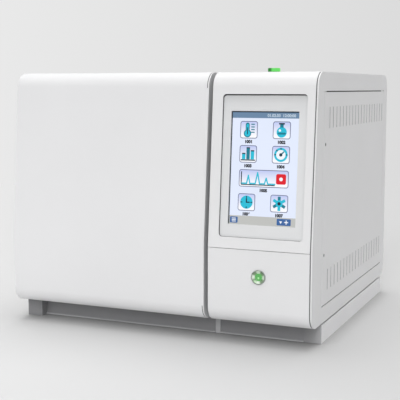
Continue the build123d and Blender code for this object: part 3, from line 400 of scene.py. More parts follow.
def front_block(name, left, right, low, high, back):
    """A block whose front face follows the outline between two heights."""
    piece = add_box(name, at(left, 0, low), at(right, back, high))
    if low < CREASE < high:
        pick_points(piece, lambda place: True)
        bpy.ops.mesh.bisect(plane_co=at(0, 0, CREASE), plane_no=(0, 0, 1))
        done()
    face_y = corner.y
    for height in (low, high):
        if lean_back(height) > 0:
            level = at(0, 0, height).z
            pick_points(piece, lambda place: near(place.y, face_y) and near(place.z, level))
            bpy.ops.transform.translate(value=(0, lean_back(height) * MM, 0))
            done()
    return piece


def roll_edge(piece, y, z, radius):
    """Roll the long edge that runs along x at that place."""
    turn = pi / 2 - (LEAN if z > CREASE and y < BODY_DEPTH / 2 else 0)
    place = at(0, y, z)

    def on_edge(point):
        return near(point.y, place.y) and near(point.z, place.z)

    reach = radius * tan(turn / 2)
    round_edges(piece, lambda a, b: on_edge(a) and on_edge(b), reach, ROLL_STEPS)


def roll_front(piece):
    """Roll the front's upper and lower edges."""
    roll_edge(piece, lean_back(BODY_TOP), BODY_TOP, FRONT_ROLL)
    roll_edge(piece, 0, BODY_LOW, FRONT_ROLL)


def open_shell(piece, test):
    """Drop the faces that the test names and give the rest the wall of a sheet."""
    drop_faces(piece, test)
    apply_modifier(piece, "SOLIDIFY", thickness=SHEET * MM, offset=-1, use_even_offset=True)


def even_normals(piece):
    """Keep wide faces flat to the light while the rolls stay smooth."""
    smooth(piece)
    apply_modifier(piece, "WEIGHTED_NORMAL", keep_sharp=True, weight=100)


print("the top edge stands back", round(lean_back(BODY_TOP), 2), "mm")

# %% [markdown]
# ## The oven door
# A pressed skin closed by two end caps. The skin is an open shell with a wall; the caps are
# thin plates with a broken outer edge. A seam parts each cap from the skin. It is filled
# close to the surface on the flat of the door, and a thin strip lies a little deeper all the
# way round, so the seam shows only on the rolls at the top and the bottom.

# %% Door skin
DOOR_WIDTH = 402.0
DOOR_DEPTH = 58.0
SEAM = 1.1
SKIN_LEFT = SHEET + SEAM
SKIN_RIGHT = DOOR_WIDTH - SHEET - SEAM
skin = front_block("door_shell", SKIN_LEFT, SKIN_RIGHT, BODY_LOW, BODY_TOP, DOOR_DEPTH)
roll_front(skin)
open_shell(skin, lambda centre, way: way.y > 0.9 or abs(way.x) > 0.9)
even_normals(skin)
place_piece(skin, "oven_door", panel_white, "body_paint", "door_skin")

# %% Door end caps, the left one with its two hinge notches, and the filled seams
HINGE_HEIGHTS = (95.0, 375.0)
NOTCH_HEIGHT = 44.0
NOTCH_FRONT = 42.0
FILL_DEPTH = 30.0
FILL_OVERLAP = 0.05
caps = []
for name, start, inner in (
    ("left_door_cap", 0.0, SHEET),
    ("right_door_cap", DOOR_WIDTH - SHEET, DOOR_WIDTH - SHEET),
):
    cap = front_block(name, start, start + SHEET, BODY_LOW, BODY_TOP, DOOR_DEPTH)
    roll_front(cap)
    if start == 0.0:
        for height in HINGE_HEIGHTS:
            cut(cap, add_box("notch", at(-5, NOTCH_FRONT, height), at(10, 65, height + NOTCH_HEIGHT)))
    soften(cap, 0.7, 3)
    even_normals(cap)
    left, right = inner - SEAM - FILL_OVERLAP, inner + SEAM + FILL_OVERLAP
    low, high = BODY_LOW + FRONT_ROLL, BODY_TOP - FRONT_ROLL
    fill = front_block("seam_fill", left, right, low, high, FILL_DEPTH)
    fill.data.transform(Matrix.Translation((0, CLEAR * MM, 0)))
    caps += [cap, fill]
place_piece(join("door_caps", caps), "oven_door", panel_white, "body_paint", "door_end_caps")

# %% Thin strips in the seams
STRIP_WALL = 1.0


def seam_line(name, left, right, sink, body, paint):
    """A strip with the front's outline, sink millimetres below the surface of a seam."""
    line = front_block(name, left + CLEAR, right - CLEAR, BODY_LOW, BODY_TOP, DOOR_DEPTH - 4)
    roll_front(line)
    drop_faces(line, lambda centre, way: abs(way.x) > 0.9 or way.y > 0.9)
    apply_modifier(line, "SOLIDIFY", thickness=STRIP_WALL * MM, offset=-1, use_even_offset=True)
    middle = at(0, 0, (BODY_LOW + BODY_TOP) / 2)
    shrink = Matrix.Diagonal((1, 1, 1 - 2 * sink / (BODY_TOP - BODY_LOW), 1))
    line.data.transform(Matrix.Translation(middle) @ shrink @ Matrix.Translation(-middle))
    line.data.transform(Matrix.Translation((0, sink * MM, 0)))
    smooth(line)
    place_piece(line, body, paint, "body_paint")


seam_line("left_seam_line", SHEET, SKIN_LEFT, 0.4, "oven_door", panel_white)
# The right seam's strip is dark: painted shade in the seam at the door's right end.
seam_line("right_seam_line", SKIN_RIGHT, DOOR_WIDTH - SHEET, 0.4, "oven_door", screw_dark)

# %% [markdown]
# ## The screen tower
# The upper panel leans with the door and has a recess with round corners, the lower one
# carries the button, and a fine seam parts them at the crease.

# %% The leaning face as a place to build on
def tilt(piece):
    """Put a piece that was built upright round the crease line onto the leaning face."""
    turn = Matrix.Translation(at(0, 0, CREASE)) @ Matrix.Rotation(-LEAN, 4, "X")
    piece.data.transform(turn)
    return piece


def face_box(name, across, rise, depth):
    """A box on the leaning face, given as (low, high) pairs: across, up the slope, inwards."""
    low = Vector((across[0], depth[0], rise[0])) * MM
    high = Vector((across[1], depth[1], rise[1])) * MM
    return add_box(name, low, high)


def round_plate(name, across, rise, depth, radius, steps=6):
    """A plate on the leaning face with its four corners rounded, still upright."""
    piece = face_box(name, across, rise, depth)
    round_edges(piece, lambda a, b: abs(a.y - b.y) > CLEAR * MM, radius, steps)
    return piece


# %% Upper panel with its recess
TOWER_LEFT = 410.0
PANEL_RIGHT = 597.7
TOWER_BACK = 61.6
CREASE_SEAM = 0.8
RECESS_RADIUS = 6
RECESS_ACROSS = (429.5, 583.5)
RECESS_RISE = (20.5, 270.5)
seam_top = CREASE + CREASE_SEAM / 2
upper = front_block("tower_front_upper", TOWER_LEFT, PANEL_RIGHT, seam_top, BODY_TOP, TOWER_BACK)
roll_edge(upper, lean_back(BODY_TOP), BODY_TOP, FRONT_ROLL)
open_shell(upper, lambda centre, way: way.y > 0.9 or abs(way.x) > 0.9 or way.z < -0.9)
cut(upper, tilt(round_plate("recess_tool", RECESS_ACROSS, RECESS_RISE, (-8, 8), RECESS_RADIUS, 8)))
soften(upper, 0.6, 3)
even_normals(upper)
place_piece(upper, "chassis", panel_white, "body_paint", "tower_upper_panel")

# %% Lower panel with the button hole
BUTTON_X = 506.0
BUTTON_Z = 125.3
BUTTON_HOLE = 12.3
seam_low = CREASE - CREASE_SEAM / 2
lower = front_block("tower_front_lower", TOWER_LEFT, PANEL_RIGHT, BODY_LOW, seam_low, TOWER_BACK)
roll_edge(lower, 0, BODY_LOW, FRONT_ROLL)
open_shell(lower, lambda centre, way: way.y > 0.9 or abs(way.x) > 0.9 or way.z > 0.9)
cut(lower, add_bar("hole_tool", at(BUTTON_X, -5, BUTTON_Z), BUTTON_HOLE, 12, "y"))
soften(lower, 0.6, 3)
even_normals(lower)
place_piece(lower, "chassis", panel_white, "body_paint", "tower_lower_panel")

# %% [markdown]
# ## Side panels and the slotted cover
# Each side is a plate with all four corners rolled. The right one frames a cover that lifts
# off, with two rows of upright slots: one slot cutter is made, copied along both rows,
# joined, and cut in one go.

# %% Right side with its window and the rails behind the cover
COVER_Y = (62.0, 531.0)
COVER_Z = (66.5, 447.0)
COVER_GAP = 2.0
COVER_FACE = BODY_WIDTH - SHEET
RAIL_WIDTH = 26.0
RAIL_OVERLAP = 6.0


def side_plate(name, left):
    plate = front_block(name, left, left + SHEET, BODY_LOW, BODY_TOP, BODY_DEPTH)
    roll_front(plate)
    roll_edge(plate, BODY_DEPTH, BODY_TOP, REAR_ROLL)
    roll_edge(plate, BODY_DEPTH, BODY_LOW, REAR_ROLL)
    return plate


right_side = side_plate("side_frame_right", COVER_FACE)
cut(right_side, add_box("window_tool", at(590, COVER_Y[0], COVER_Z[0]), at(610, COVER_Y[1], COVER_Z[1])))
soften(right_side, 0.45, 3)
rails = []
for first in (COVER_Y[0] - RAIL_OVERLAP, COVER_Y[1] + RAIL_OVERLAP - RAIL_WIDTH):
    rail_low = at(COVER_FACE - 2, first, COVER_Z[0] - RAIL_OVERLAP)
    rail_high = at(COVER_FACE, first + RAIL_WIDTH, COVER_Z[1] + RAIL_OVERLAP)
    rail = add_box("cover_rail", rail_low, rail_high)
    soften(rail, 0.3, 1)
    rails.append(rail)
right_side = join("side_frame_right", [right_side, *rails])
even_normals(right_side)
place_piece(right_side, "chassis", panel_white, "body_paint", "side_panel_right")

# %% The seam beside the right side, with a dark strip in it as painted shade, and the plain left side
seam_line("tower_seam_line", PANEL_RIGHT, COVER_FACE, 0.5, "chassis", seam_grey)

left_side = side_plate("side_panel_plain", 0.0)
cut(left_side, add_box("front_tool", at(-5, -5, 0), at(10, COVER_Y[0], 500)))
soften(left_side, 0.7, 3)
even_normals(left_side)
place_piece(left_side, "chassis", panel_white, "body_paint", "side_panel_left")

# %% The cover with its slots, whose walls get a darker grey: partly bare cut edges, partly painted shade
SLOT_ROWS = (111.5, 400.5)
SLOT_FIRST = 97.0
SLOT_PITCH = 23.0
SLOT_COUNT = 19
SLOT_WIDTH = 3.0
SLOT_HEIGHT = 38.0
SCREW_Y = 72.5
SCREW_HEIGHTS = (158.9, 354.3)
cover = add_box(
    "side_cover",
    at(COVER_FACE, COVER_Y[0] + COVER_GAP, COVER_Z[0] + COVER_GAP),
    at(BODY_WIDTH, COVER_Y[1] - COVER_GAP, COVER_Z[1] - COVER_GAP),
)
slot = add_box(
    "slot_tool",
    at(590, SLOT_FIRST - SLOT_WIDTH / 2, SLOT_ROWS[0] - SLOT_HEIGHT / 2),
    at(610, SLOT_FIRST + SLOT_WIDTH / 2, SLOT_ROWS[0] + SLOT_HEIGHT / 2),
)
round_edges(slot, lambda a, b: abs(a.x - b.x) > 5 * MM, SLOT_WIDTH / 2 - 0.01, 4)
cutters = []
for row in SLOT_ROWS:
    for index in range(SLOT_COUNT):
        cutters.append(copy_of(slot, "slot_copy", (0, index * SLOT_PITCH, row - SLOT_ROWS[0])))
bpy.data.objects.remove(slot)
for height in SCREW_HEIGHTS:
    cutters.append(add_bar("pocket_tool", at(600.5, SCREW_Y, height), 3.3, 5, "x", 24))
cut(cover, join("slot_tools", cutters))
soften(cover, 0.4, 2)
even_normals(cover)
place_piece(cover, "chassis", panel_white, "body_paint", "side_cover_right")
# The slot walls' darker grey is partly the bare cut edge and partly painted shade.
cover.data.materials.append(cut_edge)
row_reach = (SLOT_HEIGHT / 2 + 0.2) * MM
row_middles = [at(0, 0, row).z for row in SLOT_ROWS]
slots_from, slots_to = at(0, SLOT_FIRST - 5, 0).y, at(0, COVER_Y[1] - 10, 0).y
for face in cover.data.polygons:
    in_row = any(abs(face.center.z - middle) < row_reach for middle in row_middles)
    if in_row and slots_from < face.center.y < slots_to and abs(face.normal.x) < 0.8:
        face.material_index = 1

# %% Dark strips behind the cover's upper and lower gaps, and one in the lower gap: painted shade inside the gaps
STRIP_REACH = 4.0
gap_shade_strips = []
for height in COVER_Z:
    low = at(597.6, COVER_Y[0] - STRIP_REACH, height - STRIP_REACH)
    high = at(599.3, COVER_Y[1] + STRIP_REACH, height + STRIP_REACH)
    gap_shade_strips.append(add_box("strip", low, high))
gap_low, gap_high = COVER_Z[0] + 0.1, COVER_Z[0] + COVER_GAP - 0.1
gap_shade_strips.append(add_box("strip", at(599.2, COVER_Y[0], gap_low), at(600.9, COVER_Y[1], gap_high)))
gap_shade_strips = join("cover_seal", gap_shade_strips)
soften(gap_shade_strips, 0.3, 2)
place_piece(gap_shade_strips, "chassis", seal_grey, "seal_grey")

# %% The cover's two socket screws
SOCKET_DEPTH = 0.8
screws = []
for height in SCREW_HEIGHTS:
    screw = add_bar("cover_screw", at(593, SCREW_Y, height), 1.6, 7.6, "x", 24)
    head = add_bar("head", at(600.6, SCREW_Y, height), 3.0, 1.3, "x", 32)
    pick_faces(head, lambda centre, way: way.x > 0.9)
    bpy.ops.mesh.inset(thickness=1.3 * MM)
    bpy.ops.mesh.extrude_region_move(TRANSFORM_OT_translate={"value": (-SOCKET_DEPTH * MM, 0, 0)})
    done()
    soften(head, 0.25, 2)
    screws += [screw, head]
screws = join("cover_screws", screws)
smooth(screws)
place_piece(screws, "chassis", screw_dark, "steel", "side_cover_screws")

# %% [markdown]
# ## The screen
# A dark surround is fastened behind the panel and holds a moulded bezel, with a shadow gap
# along its top and a finer one at its sides. Behind its window lies a lit panel. What it
# shows is built in thin layers, each a little nearer to the eye than the one under it:
# bars, tiles with round corners, plain symbols and numbers.

# %% Dark surround and bezel
WINDOW_ACROSS = (444.5, 568.5)
WINDOW_RISE = (43.5, 241.5)
SURROUND_REACH = 4.0
BEZEL_FRONT = 2.7
BEZEL_DISH = 4.5
BEZEL_BACK = 7.0
POCKET_FLOOR = BEZEL_BACK - 0.3
GAP_SIDE = 0.25
GAP_TOP = 1.7
SHADE_LENGTH = 50.0


def wider(ends, reach):
    return (ends[0] - reach, ends[1] + reach)


surround_across, surround_rise = wider(RECESS_ACROSS, SURROUND_REACH), wider(RECESS_RISE, SURROUND_REACH)
surround = round_plate("screen_surround", surround_across, surround_rise, (BEZEL_FRONT, BEZEL_BACK), 6)
cut(surround, round_plate("pocket_tool", RECESS_ACROSS, RECESS_RISE, (-5, POCKET_FLOOR), RECESS_RADIUS, 8))
cut(surround, face_box("window_tool", WINDOW_ACROSS, WINDOW_RISE, (-5, 15)))
soften(surround, 0.2, 2)
even_normals(surround)
tilt(surround)
place_piece(surround, "chassis", black_plastic, "bezel_plastic", "screen_bezel")

bezel_rise = (RECESS_RISE[0] + 0.1, RECESS_RISE[1] - GAP_TOP)
bezel_across = wider(RECESS_ACROSS, -GAP_SIDE)
bezel = round_plate("screen_frame", bezel_across, bezel_rise, (BEZEL_DISH, POCKET_FLOOR), 5.5)
cut(bezel, face_box("window_tool", WINDOW_ACROSS, WINDOW_RISE, (-5, 15)))
soften(bezel, 0.4, 3)
even_normals(bezel)
tilt(bezel)
place_piece(bezel, "chassis", bezel_white, "bezel_plastic")

# %% Shade under the recess's top edge, as a slow fade down the bezel
def fade_along(material, axis, start, end, levels):
    """Dim a finish between two places on an axis, by (share of the way, level) pairs."""
    tree = material.node_tree
    paint = tree.nodes["Principled BSDF"].inputs["Base Color"]
    stops = [(place, (level, level, level, 1)) for place, level in levels]
    dimmer = add_ramp(tree, share_along(tree, axis, start, end), *stops)
    shaded = add_node(tree, "VectorMath", {0: paint.links[0].from_socket, 1: dimmer}, operation="MULTIPLY")
    tree.links.new(shaded.outputs[0], paint)


recess_top = CREASE + RECESS_RISE[1]
shade_from, shade_to = at(0, 0, recess_top).z, at(0, 0, recess_top - SHADE_LENGTH).z
fade_along(bezel_white, "Z", shade_from, shade_to, ((0, 0.7), (0.12, 0.84), (0.35, 0.94), (1, 1)))

# %% [markdown]
# ### Lit colours
# A lit pixel gives its own light, so these finishes glow, and have a dark base with a
# smooth surface. A slow noise keeps the backlight from looking printed.

# %% Lit finishes
def lit(name, colour, strength=1.0, fade=None):
    """A glowing screen colour. A fade gives the (first, pitch, lower colour) of repeated rows."""
    material = finish(name, colour, 0.22, vary=0.012, cloud=14, grain=(3000, 3000, 3000), bump=0.02)
    tree = material.node_tree
    shader = tree.nodes["Principled BSDF"]
    source = tree.nodes["Color Ramp"].outputs["Color"]
    tree.links.remove(shader.inputs["Base Color"].links[0])
    shader.inputs["Base Color"].default_value = (0.01, 0.01, 0.012, 1)
    shader.inputs["Specular IOR Level"].default_value = 0.2
    if fade:
        first, pitch, lower_colour = fade
        place = tree.nodes["Texture Coordinate"].outputs["Object"]
        height = add_node(tree, "SeparateXYZ", {0: place}).outputs["Z"]
        climb = add_node(tree, "Math", {0: height, 1: first}, operation="SUBTRACT").outputs[0]
        rows = add_node(tree, "Math", {0: climb, 1: pitch}, operation="DIVIDE").outputs[0]
        share = add_node(tree, "Math", {0: rows}, operation="FRACT").outputs[0]
        source = add_ramp(tree, share, (0.1, lower_colour), (0.72, colour))
    tree.links.new(source, shader.inputs["Emission Color"])
    shader.inputs["Emission Strength"].default_value = strength
    return material


# %% Screen layout, in millimetres on the leaning face
LCD_LEFT, LCD_RIGHT = 446.5, 568.5
LCD_LOW, LCD_TOP = 43.5, 239.3
LAYER = 0.12
GLASS = 7.18
TILE_WIDTH, TILE_HEIGHT = 32.0, 30.2
TILE_COLUMNS = (LCD_LEFT + 31.0, LCD_LEFT + 91.0)
TILE_PITCH = 42.1
TILE_FIRST = LCD_TOP - 30.2
WIDE_TILE = 91.0
WIDE_ROW = 2


def layer(step):
    """Depth pair of one thin layer, counted from the glass."""
    back = GLASS - LAYER * step
    return (back - LAYER, back)


def row_height(row):
    return TILE_FIRST - row * TILE_PITCH


tile_base = at(0, 0, CREASE).z + (row_height(3) - TILE_HEIGHT / 2) * cos(LEAN) * MM
screen_field = lit("screen_field", light(226, 234, 252))
screen_bar_blue = lit("screen_bar_blue", light(104, 133, 163))
screen_bar_grey = lit("screen_bar_grey", light(190, 191, 188))
screen_edge = lit("screen_edge", light(34, 44, 54))
tile_rim = lit("tile_rim", light(92, 97, 134))
tile_rows = (tile_base, TILE_PITCH * cos(LEAN) * MM, light(250, 251, 255))
tile_fill = lit("tile_fill", light(186, 197, 240), fade=tile_rows)
mark_cyan = lit("mark_cyan", light(34, 188, 214))
mark_teal = lit("mark_teal", light(16, 122, 142))
mark_dark = lit("mark_dark", light(10, 44, 60))
mark_black = lit("mark_black", light(20, 22, 28))
mark_red = lit("mark_red", light(222, 20, 34))
mark_white = lit("mark_white", light(244, 247, 252))
mark_pale = lit("mark_pale", light(192, 208, 222))
key_blue = lit("key_blue", light(58, 100, 158))

# %% Draw flat shapes on the screen
drawn = {}


def keep(piece, ink):
    drawn.setdefault(ink.name, []).append(piece)


def patch(ink, centre_x, centre_rise, width, height, step, radius=0.0, angle=0.0):
    """A flat patch on one layer, with round corners or turned if asked."""
    across = (centre_x - width / 2, centre_x + width / 2)
    rise = (centre_rise - height / 2, centre_rise + height / 2)
    if radius:
        piece = round_plate("patch", across, rise, layer(step), radius, 4)
    else:
        piece = face_box("patch", across, rise, layer(step))
    centre = Vector((centre_x, 0, centre_rise)) * MM
    spin = Matrix.Rotation(radians(angle), 4, "Y")
    piece.data.transform(Matrix.Translation(centre) @ spin @ Matrix.Translation(-centre))
    keep(piece, ink)


def marks_round(ink, centre_x, centre_rise, reach, turns, width, height, step):
    """Patches that point away from a centre, one for each turn in degrees."""
    for turn in turns:
        away = Vector((sin(radians(turn)), cos(radians(turn)))) * reach
        patch(ink, centre_x + away.x, centre_rise + away.y, width, height, step, angle=turn)


def spot(ink, centre_x, centre_rise, radius, step, sides=28):
    """A disc, or with few sides a triangle or a diamond."""
    place = Vector((centre_x, layer(step)[0], centre_rise)) * MM
    keep(add_bar("spot", place, radius, LAYER, "y", sides), ink)


def number(ink, words, centre_x, centre_rise, size, step, weight=0.03):
    """Plain bold figures: text made a mesh, then given its place."""
    bpy.ops.object.select_all(action="DESELECT")
    bpy.ops.object.text_add()
    figure = bpy.context.active_object
    figure.data.body = words
    figure.data.size = size * MM
    figure.data.align_x = "CENTER"
    figure.data.align_y = "CENTER"
    figure.data.extrude = LAYER / 2 * MM
    figure.data.offset = weight * size * MM
    bpy.ops.object.convert(target="MESH")
    stand = Matrix.Rotation(pi / 2, 4, "X")
    middle = Vector((centre_x, sum(layer(step)) / 2, centre_rise)) * MM
    figure.data.transform(Matrix.Translation(middle) @ stand)
    keep(figure, ink)


# %% Field, header and lower bar
LCD_MIDDLE = (LCD_LEFT + LCD_RIGHT) / 2
LCD_WIDTH = LCD_RIGHT - LCD_LEFT
HEADER = 9.8
FOOTER = 15.4
EDGE_GAP = 0.4
edge_width, edge_height = (ends[1] - ends[0] - EDGE_GAP for ends in (WINDOW_ACROSS, WINDOW_RISE))
# A dark lit border shows only along the window's top and left edges: painted shade cast by the bezel's walls.
patch(screen_edge, sum(WINDOW_ACROSS) / 2, sum(WINDOW_RISE) / 2, edge_width, edge_height, 0)
patch(screen_field, LCD_MIDDLE, (LCD_LOW + LCD_TOP) / 2, LCD_WIDTH, LCD_TOP - LCD_LOW, 1)
patch(screen_bar_blue, LCD_MIDDLE, LCD_TOP - HEADER / 2, LCD_WIDTH, HEADER, 2)
patch(screen_bar_grey, LCD_MIDDLE, LCD_LOW + FOOTER / 2, LCD_WIDTH, FOOTER, 2)

KEY_RISE = LCD_LOW + FOOTER / 2
LEFT_KEY = LCD_LEFT + 8.5
RIGHT_KEY = LCD_RIGHT - 21.5
patch(key_blue, LEFT_KEY, KEY_RISE, 14.5, 10.8, 3, 1.5)
patch(key_blue, RIGHT_KEY, KEY_RISE, 25.5, 11.6, 3, 1.5)
for step in (-2.6, 0, 2.6):
    patch(mark_white, LEFT_KEY, KEY_RISE + step, 7.6, 1.3, 4)
spot(mark_white, RIGHT_KEY - 5.5, KEY_RISE, 3.1, 4, 3)
patch(mark_white, RIGHT_KEY + 4.5, KEY_RISE, 7.0, 1.6, 4)
patch(mark_white, RIGHT_KEY + 4.5, KEY_RISE, 1.6, 7.0, 5)
number(mark_pale, "01.02.03  12:00:00", LCD_RIGHT - 32, LCD_TOP - HEADER / 2 - 0.4, 6.9, 3)

# %% Tiles: two, two, one wide, two
TILE_RIM = 1.2
LABEL_DROP = 20.9
label = 1000
for row in range(4):
    rise = row_height(row)
    width = WIDE_TILE if row == WIDE_ROW else TILE_WIDTH
    for column in [LCD_MIDDLE] if row == WIDE_ROW else TILE_COLUMNS:
        patch(tile_rim, column, rise, width, TILE_HEIGHT, 2, 4.0)
        patch(tile_fill, column, rise, width - 2 * TILE_RIM, TILE_HEIGHT - 2 * TILE_RIM, 3, 3.0)
        label += 1
        number(mark_black, str(label), column, rise - LABEL_DROP, 7.2, 3, 0.07)

# %% Plain symbols: a thermometer, a flask, three bars, a dial, a trace, a clock and a star
x, z = TILE_COLUMNS[0], row_height(0)
patch(mark_teal, x - 2.5, z + 3, 7.4, 19, 4, 3.6)
spot(mark_teal, x - 2.5, z - 6.4, 6.9, 4)
patch(mark_cyan, x - 2.5, z + 1.5, 4.2, 17, 5, 2.0)
spot(mark_cyan, x - 2.5, z - 6.4, 5.2, 5)
patch(mark_dark, x - 2.5, z - 2, 1.6, 12, 6)
for step in range(4):
    patch(mark_teal, x + 7.4, z + 9.5 - step * 4.6, 6.4, 1.9, 4)

x, z = TILE_COLUMNS[1], row_height(0)
spot(mark_cyan, x, z - 3.4, 9.2, 4)
patch(mark_teal, x, z + 8.0, 6.4, 7.5, 4)
patch(mark_dark, x, z + 11.2, 10.5, 2.6, 5)
patch(mark_teal, x, z - 5.6, 15.0, 3.4, 5, 1.5)
spot(mark_white, x - 3.4, z - 0.4, 2.1, 5)

x, z = TILE_COLUMNS[0], row_height(1)
for step, height in enumerate((10, 20, 15)):
    patch(mark_cyan if step != 1 else mark_teal, x - 8 + step * 8, z - 9.4 + height / 2, 6.4, height, 4)
    patch(mark_dark, x - 8 + step * 8, z - 9.4 + height, 6.4, 2.2, 5)
patch(mark_dark, x, z - 10.6, 27, 2.0, 4)

x, z = TILE_COLUMNS[1], row_height(1)
spot(mark_cyan, x, z, 12.2, 4, 36)
spot(mark_white, x, z, 8.4, 5, 36)
marks_round(mark_dark, x, z, 10.4, (-90, -45, 0, 90), 1.8, 3.4, 5)
patch(mark_teal, x + 2.4, z + 2.4, 2.4, 9.4, 6, angle=45)
spot(mark_dark, x, z, 2.9, 6)

TRACE = (
    (-40, -9), (-31, -9), (-28, 5), (-25, -9), (-15, -9), (-11, 10),
    (-7, -9), (2, -9), (5, 1), (8, -9), (21, -9),
)
x, z = LCD_MIDDLE, row_height(2)
for first, last in zip(TRACE, TRACE[1:]):
    run, climb = last[0] - first[0], last[1] - first[1]
    middle_x, middle_z = x + first[0] + run / 2, z + first[1] + climb / 2
    length, turn = hypot(run, climb) + 1.8, degrees(atan2(run, climb))
    patch(mark_cyan, middle_x, middle_z, 2.3, length, 4, angle=turn)
patch(mark_dark, x - 41, z, 1.8, 23, 4)
patch(mark_dark, x - 10, z - 11.2, 62, 1.8, 4)
patch(mark_red, x + 32, z, 18, 18, 5, 3.0)
spot(mark_white, x + 32, z, 3.2, 6)

x, z = TILE_COLUMNS[0], row_height(3)
spot(mark_cyan, x, z, 11.6, 4, 36)
marks_round(mark_dark, x, z, 9.2, (0, 90, 180, 270), 1.8, 3.2, 5)
patch(mark_dark, x, z + 3.0, 2.2, 8.0, 5)
patch(mark_dark, x + 2.6, z, 7.0, 2.2, 6)

x, z = TILE_COLUMNS[1], row_height(3)
marks_round(mark_teal, x, z, 6.8, (0, 120, 240), 5.2, 11.0, 4)
marks_round(mark_cyan, x, z, 6.8, (60, 180, 300), 5.2, 11.0, 4)
spot(mark_cyan, x, z, 6.4, 5)
spot(mark_dark, x, z, 3.0, 6)

# %% Join each colour into one piece on the leaning face
for name, pieces in drawn.items():
    sheet = tilt(join(name + "_shapes", pieces))
    place_piece(sheet, "chassis", bpy.data.materials[name], "screen_glass")

# %% [markdown]
# ## The power button and the lamp
# The button's ring is a turned part: its face is drawn in by insets and pushed back step by
# step, which gives a rounded rim and a deep dish. A turned dish of brushed metal lies in it,
# with the rays of its reflection painted into its colour, and the cap in the middle has a
# hollow face that glows green, with a paler spot in it as a painted highlight. The ring, the
# dish and the barrel are bored, so the cap can slide in them.

# %% Finishes that glow green, and a dish with painted reflection rays
def fan_of_light(name, pale, dark, centre, petals):
    """Bright and dark rays painted into the colour as the reflection of turned metal, spread round a centre
    on x and z.
    """
    material = finish(name, pale, 0.25, metal=0.4, bump=0.03)
    tree = material.node_tree
    place = tree.nodes["Texture Coordinate"].outputs["Object"]
    offset = add_node(tree, "VectorMath", {0: place, 1: centre}, operation="SUBTRACT")
    split = add_node(tree, "SeparateXYZ", {0: offset.outputs[0]})
    ends = {0: split.outputs["Z"], 1: split.outputs["X"]}
    angle = add_node(tree, "Math", ends, operation="ARCTAN2").outputs[0]
    count = add_node(tree, "Math", {0: angle, 1: petals}, operation="MULTIPLY").outputs[0]
    wave = add_node(tree, "Math", {0: count}, operation="COSINE").outputs[0]
    share = add_node(tree, "MapRange", {"Value": wave, "From Min": -1.0}).outputs["Result"]
    rays = add_ramp(tree, share, (0.25, dark), (0.85, pale))
    tree.links.new(rays, tree.nodes["Principled BSDF"].inputs["Base Color"])
    return material


button_centre = at(BUTTON_X, 0, BUTTON_Z)
button_glow = lit("button_glow", light(106, 192, 104), 0.8)
button_pale = lit("button_pale", light(176, 246, 168), 0.9)
dish_metal = fan_of_light("dish_metal", light(230, 242, 226), light(136, 162, 130), button_centre, 4)
rim_metal = finish("rim_metal", light(184, 188, 184), 0.3, metal=0.85, vary=0.03, bump=0.03)

# %% Button ring, barrel and dish, bored for the cap
RING_RADIUS = 13.0
RING_DEPTH = 3.2
RING_ROUND = 1.2
BARREL_RADIUS = 11.0
BARREL_LENGTH = 30.0
DISH_RADIUS = 11.4
DISH_FLOOR = 6.75
DISH_DEPTH = 2.8
DISH_SINK = 0.1
DISH_LIP = 0.25
BORE_RADIUS = DISH_FLOOR - 0.05
BORE_LENGTH = 18.0


def press_in(piece, y, inset, push):
    """Inset the front face that lies at y and move it back by push millimetres."""
    level = at(0, y, 0).y
    pick_faces(piece, lambda centre, way: abs(way.y) > 0.9 and near(centre.y, level))
    bpy.ops.mesh.inset(thickness=inset * MM)
    bpy.ops.transform.translate(value=(0, push * MM, 0))
    done()


def bore(piece):
    """Take the cap's way through the button out of a piece of it."""
    start = at(BUTTON_X, -RING_DEPTH - 1, BUTTON_Z)
    cut(piece, add_bar("button_way", start, BORE_RADIUS, BORE_LENGTH, "y", 72))


ring = add_bar("button_bezel", at(BUTTON_X, -RING_DEPTH, BUTTON_Z), RING_RADIUS, RING_DEPTH, "y", 72)
rim_y = at(0, -RING_DEPTH, 0).y
round_edges(ring, lambda a, b: near(a.y, rim_y) and near(b.y, rim_y), RING_ROUND, 6)
press_in(ring, -RING_DEPTH, RING_RADIUS - RING_ROUND - DISH_RADIUS, CLEAR)
press_in(ring, -RING_DEPTH + CLEAR, CLEAR, DISH_DEPTH - DISH_SINK)
bore(ring)
even_normals(ring)
barrel = add_bar("button_barrel", at(BUTTON_X, 0, BUTTON_Z), BARREL_RADIUS, BARREL_LENGTH, "y", 48)
soften(barrel, 0.8, 2)
bore(barrel)
even_normals(barrel)
place_piece(join("button_bezel", [ring, barrel]), "chassis", rim_metal, "chrome_trim", "button_ring")

dish_face = -RING_DEPTH + DISH_SINK
dish_radius = DISH_RADIUS - 0.05
dish = add_bar("button_dish", at(BUTTON_X, dish_face, BUTTON_Z), dish_radius, DISH_DEPTH - DISH_SINK, "y", 72)
press_in(dish, dish_face, DISH_LIP, CLEAR)
press_in(dish, dish_face + CLEAR, dish_radius - DISH_LIP - DISH_FLOOR, DISH_DEPTH - 3 * DISH_SINK)
bore(dish)
even_normals(dish)
place_piece(dish, "chassis", dish_metal, "chrome_trim")

# %% Button cap with its hollow face, and a paler glowing spot in it as a painted highlight
CAP_RADIUS = 6.45
CAP_FACE = -1.6
CAP_LENGTH = 12.5
HOLLOW_STEP = 0.05
cap = add_bar("button_lens", at(BUTTON_X, CAP_FACE, BUTTON_Z), CAP_RADIUS, CAP_LENGTH, "y", 64)
for step in range(4):
    press_in(cap, CAP_FACE + HOLLOW_STEP * step * step, 1.4, HOLLOW_STEP * (2 * step + 1))
even_normals(cap)
place_piece(cap, "power_button", button_glow, "button_green", "button_cap")
mark = add_bar("button_mark", at(BUTTON_X, CAP_FACE + 0.2, BUTTON_Z - 1.4), 1.7, 1.0, "y", 24)
soften(mark, 0.2, 2)
smooth(mark)
place_piece(mark, "power_button", button_pale, "button_green")
